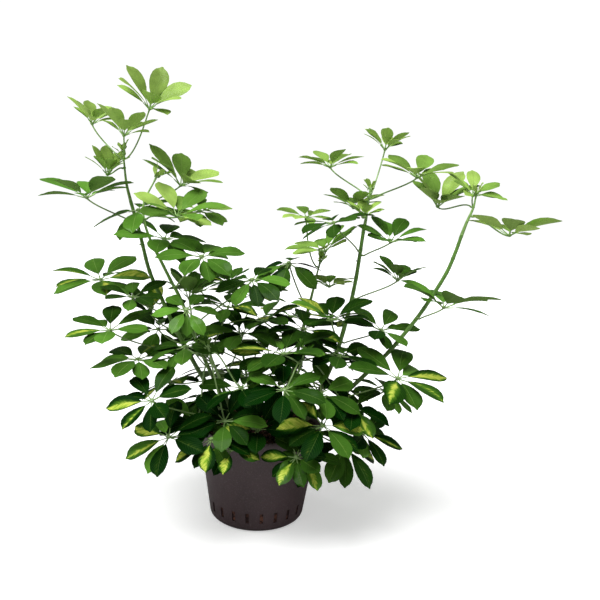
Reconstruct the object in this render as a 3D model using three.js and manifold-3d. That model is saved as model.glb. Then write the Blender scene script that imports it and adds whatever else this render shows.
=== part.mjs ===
// A potted umbrella plant: a slotted culture pot filled with clay granulate, eight canes with young
// shoots at their tips, and umbrella leaves whose leaflets stand round the end of a long stalk.
// Millimetres, +Z up, +X to the right, +Y away from the viewer, origin at the middle of the foot.
import * as THREE from "three";
import { mergeVertices } from "three/addons/utils/BufferGeometryUtils.js";
import Module from "manifold-3d";

const wasm = await Module();
wasm.setup();

// Driving dimensions.
const GAP = 0.3;
const FLATNESS = 0.02;
const POT_HEIGHT = 190;
const RIM_RADIUS = 123;
const RIM_BAND = 9;
const WALL_TOP_RADIUS = 120;
const FOOT_RADIUS = 92;
const FOOT_CORNER = 14;
const WALL = 2.5;
const FLOOR = 3;
const FACETS = 44;
const SLOTS = 22;
const SLOT_WIDTH = 7;
const SLOT_LOW = 20;
const SLOT_HIGH = 41;
const SLOT_TURN = 9;
const FILL_LEVEL = 176;
const PEBBLE_RELIEF = 3.5;
const PEBBLE_RINGS = 2;
const CANE_SIDES = 6;
const STALK_SIDES = 3;
const STALK_RADIUS = 1.6;
const SHEATH_RADIUS = 2.3;
const SHOOT_TIP_RADIUS = 1.6;
const SHEATH_LENGTH = 6;
const STALK_STEPS = 3;
const LOWEST_STALK = 205;
const STALK_SPACING = 8;
const HUB_RADIUS = 5;
const LEAFLET_STALK = 0.16;
const LEAFLET_WIDTH = 0.2;
const BLADE_THICKNESS = 1.6;
const LEAFLET_ARCH = 28;

const GREEN_YOUNG = 0x6fa53a;
const GREEN_LEAF = 0x2f6a1d;
const GREEN_CANE = 0x5f8a3a;
const POT_COLOUR = 0x37302f;
const CLAY_COLOUR = 0x7a4632;

// The shoots whose leaves are still young and light green.
const YOUNG = ["shoot_left_tall", "shoot_left", "shoot_middle", "shoot_right", "shoot_back"];

// Each cane from its foot in the granulate to its tip, then the young shoot that goes on from it.
// Points are [x, y, z]; the radii are those of the foot and of the tip.
const CANES = {
  left_tall: {
    radii: [5, 3.4],
    line: [
      [-35, -25, 100],
      [-60, -20, 185],
      [-90, -10, 240],
      [-130, 0, 300],
      [-180, 10, 385],
      [-200, 15, 425],
      [-228, 25, 480],
      [-250, 35, 553],
      [-270, 42, 615],
    ],
    shoot: [
      [-280, 48, 650],
      [-287, 54, 700],
    ],
  },
  left: {
    radii: [4.4, 2.8],
    line: [
      [-25, -55, 100],
      [-45, -50, 190],
      [-72, -48, 255],
      [-118, -45, 350],
      [-152, -42, 433],
      [-175, -40, 475],
      [-197, -36, 515],
      [-213, -32, 542],
    ],
    shoot: [
      [-227, -28, 580],
      [-230, -18, 615],
      [-215, 0, 655],
    ],
  },
  middle: {
    radii: [5, 3.6],
    line: [
      [60, 15, 100],
      [80, 20, 170],
      [100, 24, 215],
      [130, 28, 280],
      [152, 33, 345],
      [167, 38, 408],
      [178, 42, 470],
      [184, 47, 520],
      [190, 51, 580],
    ],
    shoot: [
      [193, 53, 597],
      [198, 57, 648],
    ],
  },
  right: {
    radii: [4.8, 3.5],
    line: [
      [38, -28, 110],
      [74, -29, 190],
      [104, -29, 219],
      [152, -29, 253],
      [211, -28, 314],
      [245, -27, 351],
      [275, -26, 391],
      [305, -24, 435],
      [342, -23, 502],
      [358, -22, 545],
      [368, -21, 580],
    ],
    shoot: [
      [376, -20, 605],
      [386, -18, 630],
      [390, -14, 650],
    ],
  },
  back: {
    radii: [4.4, 3.2],
    line: [
      [20, 35, 100],
      [38, 42, 187],
      [62, 52, 285],
      [78, 62, 368],
      [90, 70, 420],
    ],
    shoot: [
      [97, 75, 455],
      [106, 82, 500],
    ],
  },
  front_left: {
    radii: [4.4, 3.2],
    line: [
      [-25, -68, 110],
      [-35, -75, 185],
      [-55, -88, 255],
      [-72, -95, 305],
    ],
    shoot: [
      [-82, -99, 330],
      [-90, -102, 355],
    ],
  },
  front_right: {
    radii: [4.4, 3.2],
    line: [
      [25, -65, 110],
      [38, -72, 185],
      [55, -84, 255],
      [66, -90, 300],
    ],
    shoot: [
      [74, -93, 325],
      [80, -96, 350],
    ],
  },
  rear: {
    radii: [4.4, 3.2],
    line: [
      [-15, 55, 100],
      [-20, 68, 185],
      [-23, 73, 205],
    ],
    shoot: [
      [-27, 79, 225],
      [-35, 90, 255],
      [-52, 118, 325],
      [-60, 134, 360],
      [-65, 146, 395],
    ],
  },
};

// Umbrella leaves: node, cane, hub x, y, z, tilt of the face from upright, the side it faces,
// rise of its leaflets, number of leaflets, turn of the first, and their length.
const LEAVES = [
  ["shoot_left_tall", "left_tall", -240, 70, 795, 35, 300, 40, 6, 35, 90],
  ["shoot_left_tall", "left_tall", -365, 110, 765, 15, 330, 35, 6, 35, 66],
  ["shoot_left_tall", "left_tall", -280, 30, 740, 10, 45, 35, 6, 30, 72],
  ["shoot_left_tall", "left_tall", -320, 60, 665, 20, 300, 50, 6, 0, 62],
  ["shoot_left", "left", -175, 60, 650, 25, 330, 30, 6, 20, 98],
  ["shoot_left", "left", -160, -60, 595, 20, 300, 20, 6, 5, 92],
  ["shoot_middle", "middle", 285, 30, 685, 15, 285, 20, 6, 30, 86],
  ["shoot_middle", "middle", 230, 120, 740, 5, 0, 35, 6, 20, 62],
  ["shoot_middle", "middle", 120, 130, 700, 5, 210, 20, 6, 20, 76],
  ["shoot_middle", "middle", 170, 90, 620, 5, 100, 25, 6, 65, 72],
  ["shoot_middle", "middle", 185, 20, 605, 10, 300, 35, 6, 35, 48],
  ["shoot_right", "right", 455, -30, 585, 5, 60, 18, 6, 20, 98],
  ["shoot_right", "right", 395, 30, 655, 25, 300, 22, 6, 30, 66],
  ["shoot_right", "right", 340, 90, 630, 20, 285, 38, 6, 5, 96],
  ["shoot_back", "back", 75, 120, 595, 10, 285, 12, 5, 35, 64],
  ["shoot_back", "back", 115, 30, 535, 25, 195, 20, 5, 5, 84],
  ["shoot_back", "back", 130, 105, 455, 10, 90, 20, 5, 0, 62],
  ["shoot_rear", "rear", -150, 190, 420, 15, 150, 10, 5, 0, 84],
  ["shoot_rear", "rear", -35, 235, 405, 15, 90, 10, 5, 10, 86],
  ["shoot_rear", "rear", 55, 200, 370, 15, 45, 5, 5, 20, 84],
  ["shoot_rear", "rear", -85, 150, 445, 10, 200, 30, 5, 0, 62],
  ["leaf_01", "left_tall", -340, -10, 620, 5, 180, 20, 5, -5, 98],
  ["leaf_02", "left", -190, -20, 550, 15, 320, 0, 6, 15, 95],
  ["leaf_03", "left_tall", -250, 20, 600, 15, 230, -10, 6, -15, 94],
  ["leaf_04", "left", -105, -120, 530, 20, 280, -5, 6, 40, 82],
  ["leaf_05", "left", -20, -60, 485, 20, 250, -15, 6, 0, 78],
  ["leaf_06", "back", 45, 20, 510, 20, 262, -25, 6, 0, 78],
  ["leaf_07", "left", -145, 0, 435, 5, 15, 45, 6, 20, 72],
  ["leaf_08", "left", -75, 60, 410, 5, 345, 5, 5, 30, 82],
  ["leaf_09", "left", -125, -150, 440, 30, 280, -15, 6, 35, 58],
  ["shoot_front_left", "front_left", -140, -70, 355, 15, 210, -5, 6, 5, 78],
  ["leaf_10", "front_left", -150, -170, 215, 35, 245, 0, 6, 20, 82],
  ["leaf_11", "front_left", -180, -170, 280, 30, 240, 5, 6, 0, 78],
  ["leaf_12", "left_tall", -280, -70, 380, 10, 260, 8, 6, 20, 88],
  ["leaf_13", "left_tall", -335, 60, 455, 14, 260, 5, 6, 35, 104],
  ["leaf_14", "left_tall", -250, -20, 435, 12, 260, 10, 5, 55, 72],
  ["leaf_15", "left_tall", -235, 80, 385, 20, 330, 35, 5, 65, 76],
  ["shoot_front_left", "front_left", -225, -80, 330, 8, 240, 0, 6, -40, 88],
  ["leaf_16", "front_left", -110, -80, 260, 25, 260, -35, 6, -10, 68],
  ["leaf_17", "left", -75, -170, 215, 15, 240, -25, 5, 30, 72],
  ["leaf_18", "front_left", -40, -165, 195, 20, 250, -10, 5, 15, 62],
  ["leaf_19", "front_right", 120, -175, 250, 25, 290, -8, 6, 20, 85],
  ["leaf_20", "front_right", 165, -120, 195, 25, 300, -25, 6, 15, 85],
  ["leaf_21", "right", 200, -80, 205, 40, 330, 10, 6, 35, 80],
  ["leaf_22", "right", 95, -160, 185, 35, 290, -5, 5, 5, 66],
  ["leaf_23", "front_right", 75, -175, 190, 40, 240, 10, 5, 75, 68],
  ["leaf_24", "right", 255, -100, 320, 20, 300, 5, 6, 20, 104],
  ["leaf_25", "right", 245, -10, 270, 20, 350, -10, 6, 45, 75],
  ["leaf_26", "middle", 230, -10, 390, 20, 300, 5, 6, 10, 78],
  ["leaf_27", "right", 335, -70, 450, 10, 30, 15, 6, -5, 104],
  ["leaf_28", "middle", 265, 60, 480, 5, 345, 30, 6, 25, 66],
  ["leaf_29", "middle", 125, -50, 595, 15, 195, 0, 5, 35, 82],
  ["leaf_30", "middle", 240, 10, 560, 20, 285, 25, 6, 20, 76],
  ["leaf_31", "middle", 130, -60, 415, 5, 250, 20, 6, 10, 88],
  ["leaf_32", "middle", 165, 110, 380, 15, 60, 5, 5, 0, 68],
  ["shoot_front_right", "front_right", 45, -95, 355, 10, 250, 10, 6, 5, 96],
  ["leaf_33", "back", 0, 10, 395, 15, 200, 15, 5, 10, 80],
  ["leaf_34", "back", 80, -5, 385, 15, 300, 5, 6, 35, 78],
  ["shoot_front_left", "front_left", -30, -120, 295, 20, 220, 5, 6, 10, 80],
  ["shoot_front_right", "front_right", 50, -170, 310, 25, 265, 0, 6, 5, 76],
  ["shoot_front_right", "front_right", 115, -130, 295, 25, 300, 5, 6, 40, 80],
  ["leaf_35", "middle", 185, 40, 315, 15, 0, 10, 5, 20, 76],
  ["leaf_36", "rear", -160, 130, 305, 20, 150, -5, 5, 0, 86],
  ["leaf_37", "rear", 20, 190, 260, 20, 90, -5, 5, 10, 84],
  ["leaf_38", "back", 140, 160, 295, 20, 50, 0, 5, 10, 84],
  ["leaf_39", "front_left", 5, -125, 220, 40, 270, 25, 5, 5, 78],
  ["leaf_40", "back", 0, -55, 250, 20, 265, 15, 5, -10, 60],
  ["leaf_41", "left", -40, 20, 365, 20, 265, 5, 5, -5, 84],
  ["leaf_42", "back", 15, -10, 330, 20, 270, 10, 5, -20, 84],
  ["shoot_rear", "rear", -110, 195, 240, 25, 115, -5, 5, 10, 84],
  ["shoot_rear", "rear", -20, 225, 305, 20, 90, 0, 5, 35, 80],
  ["shoot_rear", "rear", 75, 215, 225, 25, 75, -5, 5, 20, 84],
  ["shoot_rear", "rear", 160, 120, 235, 25, 30, -5, 5, 10, 84],
  ["shoot_rear", "rear", -200, 105, 235, 25, 160, -5, 5, 0, 84],
  ["shoot_left", "left", -140, 85, 600, 20, 300, 0, 5, 20, 74],
  ["shoot_front_left", "front_left", -215, 50, 360, 20, 255, -5, 5, 15, 84],
  ["shoot_rear", "rear", -125, 70, 335, 15, 240, 5, 5, 35, 84],
  ["shoot_front_right", "front_right", 150, -70, 350, 15, 300, 5, 5, 35, 80],
  ["shoot_front_right", "front_right", 175, -105, 262, 20, 300, 0, 5, 40, 80],
  ["shoot_front_left", "front_left", -55, -145, 240, 30, 260, 5, 5, 15, 78],
  ["shoot_front_left", "front_left", -110, -115, 227, 25, 250, 10, 5, 35, 74],
];

const radians = THREE.MathUtils.degToRad;
const vector = (p) => new THREE.Vector3(...p);

// Draws between 0 and 1 that come out alike each time for the same start.
function drawsFrom(start) {
  let state = start;
  return () => {
    state = (state * 16807) % 2147483647;
    return state / 2147483647;
  };
}

function solid(corners, triangles) {
  const vertProperties = new Float32Array(corners.flatMap((c) => [c.x, c.y, c.z]));
  return new wasm.Manifold(
    new wasm.Mesh({ numProp: 3, vertProperties, triVerts: new Uint32Array(triangles.flat()) }),
  );
}

function solidOf(geometry) {
  geometry.deleteAttribute("normal");
  geometry.deleteAttribute("uv");
  const merged = mergeVertices(geometry, 1e-3);
  return new wasm.Manifold(
    new wasm.Mesh({
      numProp: 3,
      vertProperties: merged.attributes.position.array,
      triVerts: new Uint32Array(merged.index.array),
    }),
  );
}

function geometryOf(manifold) {
  const mesh = manifold.simplify(FLATNESS).getMesh();
  const geometry = new THREE.BufferGeometry();
  geometry.setAttribute("position", new THREE.BufferAttribute(mesh.vertProperties, 3));
  geometry.setIndex(new THREE.BufferAttribute(mesh.triVerts, 1));
  geometry.computeVertexNormals();
  return geometry;
}

// Rings of corners along a line of points, each turned as little as it can be from the one before.
function ringsAlong(points, radii, sides, facing) {
  const corners = [];
  const triangles = [];
  const side = facing.clone();
  let before = null;
  points.forEach((point, i) => {
    const ahead = points[Math.min(i + 1, points.length - 1)];
    const along = ahead.clone().sub(points[Math.max(i - 1, 0)]).normalize();
    if (before) side.applyQuaternion(new THREE.Quaternion().setFromUnitVectors(before, along));
    side.projectOnPlane(along).normalize();
    before = along;
    const across = along.clone().cross(side);
    for (let k = 0; k < sides; k++) {
      const turn = (2 * Math.PI * k) / sides;
      corners.push(
        point
          .clone()
          .addScaledVector(side, radii[i] * Math.cos(turn))
          .addScaledVector(across, radii[i] * Math.sin(turn)),
      );
    }
  });
  for (let i = 0; i + 1 < points.length; i++)
    for (let k = 0; k < sides; k++) {
      const a = i * sides + k;
      const b = i * sides + ((k + 1) % sides);
      triangles.push([a, b, b + sides], [a, b + sides, a + sides]);
    }
  return { corners, triangles };
}

// A closed round bar along a line of points, with its own radius at each point.
function bar(points, radii, sides) {
  const { corners, triangles } = ringsAlong(points, radii, sides, new THREE.Vector3(0, 1, 0));
  const last = (points.length - 1) * sides;
  for (let k = 1; k + 1 < sides; k++)
    triangles.push([0, k + 1, k], [last, last + k, last + k + 1]);
  return solid(corners, triangles);
}

// The point, the direction and the radius of a cane at a height.
function caneAt(line, radii, height) {
  let i = 0;
  while (i + 2 < line.length && line[i + 1][2] < height) i++;
  const [low, high] = [vector(line[i]), vector(line[i + 1])];
  const share = THREE.MathUtils.clamp((height - low.z) / (high.z - low.z), 0, 1);
  return {
    point: low.clone().lerp(high, share),
    along: high.clone().sub(low).normalize(),
    radius: THREE.MathUtils.lerp(radii[0], radii[1], (i + share) / (line.length - 1)),
  };
}

const barOf = (line, radii, grow = 0) =>
  bar(
    line.map(vector),
    line.map((_, i) => THREE.MathUtils.lerp(radii[0], radii[1], i / (line.length - 1)) + grow),
    CANE_SIDES,
  );

// The frame of a leaf: its face, and two directions across it.
function leafFrame(tilt, side) {
  const [t, a] = [radians(tilt), radians(side)];
  const up = new THREE.Vector3(Math.sin(t) * Math.cos(a), Math.sin(t) * Math.sin(a), Math.cos(t));
  const first = new THREE.Vector3(
    Math.cos(t) * Math.cos(a),
    Math.cos(t) * Math.sin(a),
    -Math.sin(t),
  );
  return { up, first, second: up.clone().cross(first) };
}

// Places along a leaflet and its widths there: the two ends of its own short stalk, the widening
// blade, and the shoulder of its blunt tip, where the blade has no thickness of its own.
const STATIONS = [
  [0, 0.05],
  [LEAFLET_STALK, 0.06],
  [0.46, 0.84],
];
const SHOULDER = [0.83, 0.9];

// The line and width of one leaflet: its own frame, and the places along its arched midrib.
function leafletOf(hub, frame, rise, turn, length, draw) {
  const reach = length * (0.93 + 0.14 * draw()) - HUB_RADIUS;
  const lift = radians(rise + 12 * (draw() - 0.5));
  const twist = radians(24 * (draw() - 0.5));
  const out = frame.first
    .clone()
    .multiplyScalar(Math.cos(turn))
    .addScaledVector(frame.second, Math.sin(turn));
  const chord = out
    .clone()
    .multiplyScalar(Math.cos(lift))
    .addScaledVector(frame.up, Math.sin(lift));
  const across = frame.up.clone().cross(out).applyAxisAngle(chord, twist);
  const above = chord.clone().cross(across);
  const neck = hub.clone().addScaledVector(chord, HUB_RADIUS);
  const arch = radians(LEAFLET_ARCH);
  const place = (s) => {
    const bent = arch / 2 - arch * s;
    return neck
      .clone()
      .addScaledVector(chord, (reach * (Math.sin(arch / 2) - Math.sin(bent))) / arch)
      .addScaledVector(above, (reach * (Math.cos(bent) - Math.cos(arch / 2))) / arch);
  };
  return { across, above, place };
}

// Points of a leaf's long stalk, from the underside of its hub down to its cane.
function stalkPoints(from, along, clear, hub, up) {
  const out = hub.clone().sub(from).projectOnPlane(along).normalize();
  const foot = from.clone().addScaledVector(out, clear);
  const bend = foot.clone().addScaledVector(out, SHEATH_LENGTH);
  const span = hub.distanceTo(bend);
  const arrive = hub.clone().sub(bend).setLength(1.6).add(up).setLength(0.25 * span);
  const path = new THREE.CubicBezierCurve3(
    hub.clone().addScaledVector(up, -2),
    hub.clone().sub(arrive),
    bend.clone().addScaledVector(out, 0.2 * span).add(new THREE.Vector3(0, 0, 0.15 * span)),
    bend,
  );
  return [...path.getPoints(STALK_STEPS), foot];
}

// One umbrella leaf as one closed skin: leaflets round a hub, and the stalk under it.
function leaf(row, index) {
  const [node, cane, x, y, z, tilt, side, rise, count, spin, length] = row;
  const hub = new THREE.Vector3(x, y, z);
  const frame = leafFrame(tilt, side);
  const draw = drawsFrom(1000 + 37 * index);
  const { line, shoot, radii } = CANES[cane];
  const onShoot = node.startsWith("shoot");
  const top = (onShoot ? shoot : line).at(-1);
  const spread = Math.hypot(x - top[0], y - top[1]);
  const lowest = (onShoot ? shoot[0][2] + 4 : LOWEST_STALK) + STALK_SPACING * (index % 5);
  const height = Math.min(Math.max(z - 0.5 * spread, lowest), top[2] - 4);
  const at = onShoot ? caneAt(shoot, [radii[1], SHOOT_TIP_RADIUS], height) : caneAt(line, radii, height);
  const clear = onShoot ? 0 : at.radius + GAP;

  const corners = [hub.clone().addScaledVector(frame.up, 1.5)];
  const triangles = [];
  const perLeaflet = 3 * STATIONS.length + 3;
  const ring = 1 + count * perLeaflet;
  for (let k = 0; k < count; k++) {
    const turn = radians(spin + (360 * k) / count + 8 * (draw() - 0.5));
    const { across, above, place } = leafletOf(hub, frame, rise, turn, length, draw);
    for (const [s, width] of [...STATIONS, SHOULDER]) {
      const middle = place(s);
      const wide = Math.max(length * LEAFLET_WIDTH * width, 1.1);
      corners.push(
        middle.clone().addScaledVector(across, wide),
        middle.clone().addScaledVector(across, -wide),
      );
      if (s !== SHOULDER[0]) corners.push(middle.addScaledVector(above, -BLADE_THICKNESS));
    }
    corners.push(place(1));
    const base = 1 + k * perLeaflet;
    const next = 1 + ((k + 1) % count) * perLeaflet;
    const [mine, following] = [k, k + 1].map((n) => ring + ((3 - Math.round((3 * n) / count)) % 3));
    triangles.push(
      [0, base + 1, base],
      [0, base, next + 1],
      [mine, base, base + 2],
      [mine, base + 2, base + 1],
      [mine, next + 1, base],
    );
    if (mine !== following) triangles.push([mine, following, next + 1]);
    for (let i = 0; i + 1 < STATIONS.length; i++) {
      const [left, right, under] = [0, 1, 2].map((n) => base + 3 * i + n);
      triangles.push(
        [left, right, right + 3],
        [left, right + 3, left + 3],
        [left, left + 3, under + 3],
        [left, under + 3, under],
        [right, under, under + 3],
        [right, under + 3, right + 3],
      );
    }
    const [left, right, under, shoulderLeft, shoulderRight, tip] = [6, 5, 4, 3, 2, 1].map(
      (n) => base + perLeaflet - n,
    );
    triangles.push(
      [left, right, shoulderRight],
      [left, shoulderRight, shoulderLeft],
      [shoulderLeft, shoulderRight, tip],
      [left, shoulderLeft, tip],
      [left, tip, under],
      [right, under, tip],
      [right, tip, shoulderRight],
    );
  }
  const points = stalkPoints(at.point, at.along, clear, hub, frame.up);
  const sizes = points.map((_, i) => (i + 1 < points.length ? STALK_RADIUS : SHEATH_RADIUS));
  const facing = frame.first.clone().applyAxisAngle(frame.up, radians(spin));
  const rings = ringsAlong(points, sizes, STALK_SIDES, facing);
  corners.push(...rings.corners);
  const last = ring + STALK_SIDES * (points.length - 1);
  triangles.push(...rings.triangles.map((t) => t.map((n) => n + ring)), [last, last + 1, last + 2]);
  return solid(corners, triangles);
}

// Radius of the pot's outer wall, and of its inner wall, at a height.
const wallAt = (z) =>
  FOOT_RADIUS + ((WALL_TOP_RADIUS - FOOT_RADIUS) * z) / (POT_HEIGHT - RIM_BAND);
const innerAt = (z) => wallAt(z) - WALL;

function potSolid() {
  const corner = [0, 45, 90].map((turn) => [
    wallAt(FOOT_CORNER) - FOOT_CORNER + FOOT_CORNER * Math.sin(radians(turn)),
    FOOT_CORNER - FOOT_CORNER * Math.cos(radians(turn)),
  ]);
  const profile = [
    [0, 0],
    ...corner,
    [WALL_TOP_RADIUS, POT_HEIGHT - RIM_BAND],
    [RIM_RADIUS, POT_HEIGHT - RIM_BAND],
    [RIM_RADIUS, POT_HEIGHT],
    [innerAt(POT_HEIGHT), POT_HEIGHT],
    [innerAt(FOOT_CORNER), FOOT_CORNER],
    [innerAt(FOOT_CORNER) - (FOOT_CORNER - FLOOR), FLOOR],
    [0, FLOOR],
  ];
  return turned(profile).subtract(slots());
}

// A solid of revolution whose facets face the slots squarely.
function turned(profile) {
  const start = radians(SLOT_TURN - 180 / FACETS);
  const points = profile.map(([r, z]) => new THREE.Vector2(r, z));
  const lathe = new THREE.LatheGeometry(points, FACETS, start);
  return solidOf(lathe.rotateX(Math.PI / 2));
}

function slots() {
  const middle = (SLOT_LOW + SLOT_HIGH) / 2;
  const cutters = Array.from({ length: SLOTS }, (_, i) => {
    const box = new THREE.BoxGeometry(SLOT_WIDTH, 6 * WALL, SLOT_HIGH - SLOT_LOW);
    box.translate(0, -wallAt(middle), middle);
    return solidOf(box.rotateZ(radians(SLOT_TURN + (360 / SLOTS) * i)));
  });
  return wasm.Manifold.union(cutters);
}

// The granulate fills the pot, and its top stands up in lumps as large as its pebbles.
function granulateSolid() {
  const fillAt = (z) => innerAt(z) - GAP;
  const draw = drawsFrom(77);
  const start = radians(SLOT_TURN - 180 / FACETS);
  const corners = [];
  const triangles = [];
  const ring = (radius, height) => {
    for (let k = 0; k < FACETS; k++) {
      const turn = start + (2 * Math.PI * k) / FACETS;
      const z = height === null ? FILL_LEVEL + PEBBLE_RELIEF * (2 * draw() - 1) : height;
      corners.push(new THREE.Vector3(radius * Math.sin(turn), -radius * Math.cos(turn), z));
    }
  };
  ring(fillAt(FOOT_CORNER) - (FOOT_CORNER - FLOOR), FLOOR + GAP);
  ring(fillAt(FOOT_CORNER), FOOT_CORNER);
  for (let i = 0; i < PEBBLE_RINGS; i++)
    ring((fillAt(FILL_LEVEL) * (PEBBLE_RINGS - i)) / PEBBLE_RINGS, i === 0 ? FILL_LEVEL : null);
  const rings = PEBBLE_RINGS + 2;
  for (let i = 0; i + 1 < rings; i++)
    for (let k = 0; k < FACETS; k++) {
      const a = i * FACETS + k;
      const b = i * FACETS + ((k + 1) % FACETS);
      triangles.push([a, b, b + FACETS], [a, b + FACETS, a + FACETS]);
    }
  const bottom = corners.length;
  corners.push(new THREE.Vector3(0, 0, FLOOR + GAP), new THREE.Vector3(0, 0, FILL_LEVEL + 2));
  const last = (rings - 1) * FACETS;
  for (let k = 0; k < FACETS; k++) {
    const b = (k + 1) % FACETS;
    triangles.push([bottom, b, k], [bottom + 1, last + k, last + b]);
  }
  const holes = Object.values(CANES).map(({ line, radii }) => {
    const foot = vector(line[0]);
    foot.add(foot.clone().sub(vector(line[1])).setLength(GAP));
    return barOf([foot.toArray(), ...line.slice(1)], radii, GAP);
  });
  return solid(corners, triangles).subtract(wasm.Manifold.union(holes));
}

const part = new THREE.Group();

function addNode(name, manifold, color, roughness) {
  const material = new THREE.MeshStandardMaterial({ color, roughness, metalness: 0 });
  const mesh = new THREE.Mesh(geometryOf(manifold), material);
  mesh.name = name;
  part.add(mesh);
}

addNode("pot", potSolid(), POT_COLOUR, 0.5);
addNode("granulate", granulateSolid(), CLAY_COLOUR, 0.9);

for (const [name, { line, radii }] of Object.entries(CANES))
  addNode("cane_" + name, barOf(line, radii), GREEN_CANE, 0.6);

// The stem of a shoot goes on from the tip of its cane, GAP above it.
function shootStem({ line, radii, shoot }) {
  const top = vector(line.at(-1));
  const toward = top.clone().sub(vector(line.at(-2))).normalize();
  const seat = [GAP, 2 * radii[1]].map((d) => top.clone().addScaledVector(toward, d).toArray());
  return barOf([...seat, ...shoot], [radii[1], SHOOT_TIP_RADIUS]);
}

const foliage = new Map(
  Object.entries(CANES).map(([name, cane]) => ["shoot_" + name, shootStem(cane)]),
);
LEAVES.forEach((row, index) => {
  const made = leaf(row, index);
  const held = foliage.get(row[0]);
  foliage.set(row[0], held ? held.add(made) : made);
});
for (const [name, manifold] of foliage)
  addNode(name, manifold, YOUNG.includes(name) ? GREEN_YOUNG : GREEN_LEAF, 0.45);

export default part;
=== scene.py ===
# %% [markdown]
# # An umbrella plant in its culture pot
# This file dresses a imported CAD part. The part holds the plain solids: a pot, its granulate,
# eight canes, and every umbrella leaf. Here each of them gets the look of the real thing. The
# part is loaded first and stays where it is. Every new piece is made in the same frame, so a
# leaf in this file stands exactly where the CAD leaf stands.

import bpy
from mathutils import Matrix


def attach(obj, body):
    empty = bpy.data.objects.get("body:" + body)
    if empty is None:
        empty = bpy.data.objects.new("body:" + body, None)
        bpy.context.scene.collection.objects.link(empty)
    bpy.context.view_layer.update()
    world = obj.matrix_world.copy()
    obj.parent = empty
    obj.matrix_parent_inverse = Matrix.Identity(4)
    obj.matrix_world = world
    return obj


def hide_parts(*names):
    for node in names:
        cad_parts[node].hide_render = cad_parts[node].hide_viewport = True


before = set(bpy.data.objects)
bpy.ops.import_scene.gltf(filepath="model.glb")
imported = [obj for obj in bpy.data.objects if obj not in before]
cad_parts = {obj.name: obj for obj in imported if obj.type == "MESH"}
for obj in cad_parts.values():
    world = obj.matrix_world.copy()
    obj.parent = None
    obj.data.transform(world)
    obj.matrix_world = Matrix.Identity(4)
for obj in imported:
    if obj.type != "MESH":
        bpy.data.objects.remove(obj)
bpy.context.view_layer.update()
print("CAD nodes:", len(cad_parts))

# %% [markdown]
# The sizes of a plant are easiest to read in millimetres, and Blender counts in metres. So
# everything is modelled in millimetres and scaled once, when a piece is finished. Plants are
# full of chance. Python's own random numbers could give it, but a small generator of our own
# is as short, and its draws come out alike on every run and in every version.

# %% Tools of the trade
import math

import bmesh
import bpy
from mathutils import Matrix, Quaternion, Vector

MM = 0.001
DRAW_FACTOR = 16807
DRAW_RANGE = 2147483647


def draws_from(seed):
    """Draws between 0 and 1 that come out alike each time for the same seed."""
    state = seed

    def draw():
        nonlocal state
        state = state * DRAW_FACTOR % DRAW_RANGE
        return state / DRAW_RANGE

    return draw


def finish_piece(bm, name, materials, node, crease=35):
    """Turns a bmesh in millimetres into a piece that rides on the plant.

    Edges that bend by more than crease degrees stay sharp.
    """
    for edge in bm.edges:
        if edge.is_manifold and edge.calc_face_angle() > math.radians(crease):
            edge.smooth = False
    for face in bm.faces:
        face.smooth = True
    bmesh.ops.scale(bm, vec=(MM, MM, MM), verts=bm.verts)
    mesh = bpy.data.meshes.new(name)
    bm.to_mesh(mesh)
    bm.free()
    for material in materials:
        mesh.materials.append(material)
    piece = bpy.data.objects.new(name, mesh)
    bpy.context.collection.objects.link(piece)
    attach(piece, "root")
    if node:
        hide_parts(node)
    return piece


# %% [markdown]
# A shader is a small network of nodes. It could be drawn by hand in the shader editor, but a
# script says in words what each part is for. A few helpers keep the networks below readable:
# they add a node with its inputs, calculate, mix two colours, or make a soft step. An effect
# that several finishes share is built once as a node group, and every material places that
# group with its own values.

# %% Helpers for shader networks
def feed(tree, node, **inputs):
    """Gives a node its inputs. A socket is linked, and a plain value is set."""
    for label, value in inputs.items():
        socket = node.inputs[label.replace("_", " ")]
        if isinstance(value, bpy.types.NodeSocket):
            tree.links.new(value, socket)
        else:
            socket.default_value = value


def add(tree, kind, settings=None, **inputs):
    """Adds a shader node with its settings, which are its menus, and with its inputs."""
    made = tree.nodes.new(kind)
    for key, value in (settings or {}).items():
        setattr(made, key, value)
    feed(tree, made, **inputs)
    return made


def math_node(tree, operation, first, second=None, third=None):
    """A Math node whose inputs are sockets or plain numbers. Gives its output socket."""
    made = add(tree, "ShaderNodeMath", {"operation": operation})
    for slot, value in enumerate((first, second, third)):
        if isinstance(value, (int, float)):
            made.inputs[slot].default_value = value
        elif value is not None:
            tree.links.new(value, made.inputs[slot])
    return made.outputs[0]


def mix_colour(tree, share, first, second):
    """Mixes two colours, each a socket or a plain colour."""
    made = add(tree, "ShaderNodeMix", {"data_type": "RGBA"})
    for slot, value in ((0, share), (6, first), (7, second)):
        if isinstance(value, (int, float)):
            made.inputs[slot].default_value = value
        elif isinstance(value, tuple):
            made.inputs[slot].default_value = (*value, 1)
        else:
            tree.links.new(value, made.inputs[slot])
    return made.outputs[2]


def ramp(tree, value, low, high):
    """Gives 0 below low, 1 above high and a smooth step between."""
    smooth = {"interpolation_type": "SMOOTHSTEP"}
    made = add(tree, "ShaderNodeMapRange", smooth, Value=value, From_Min=low, From_Max=high)
    return made.outputs["Result"]


def new_group(name, inputs, outputs):
    """An empty shader node group with named sockets."""
    group = bpy.data.node_groups.new(name, "ShaderNodeTree")
    for label, kind, value in inputs:
        socket = group.interface.new_socket(label, in_out="INPUT", socket_type=kind)
        socket.default_value = value
    for label, kind in outputs:
        group.interface.new_socket(label, in_out="OUTPUT", socket_type=kind)
    return group, group.nodes.new("NodeGroupInput"), group.nodes.new("NodeGroupOutput")


def new_material(name):
    """A material with its shader, ready to be joined to a network."""
    material = bpy.data.materials.new(name)
    material.use_nodes = True
    return material, material.node_tree, material.node_tree.nodes["Principled BSDF"]


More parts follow.
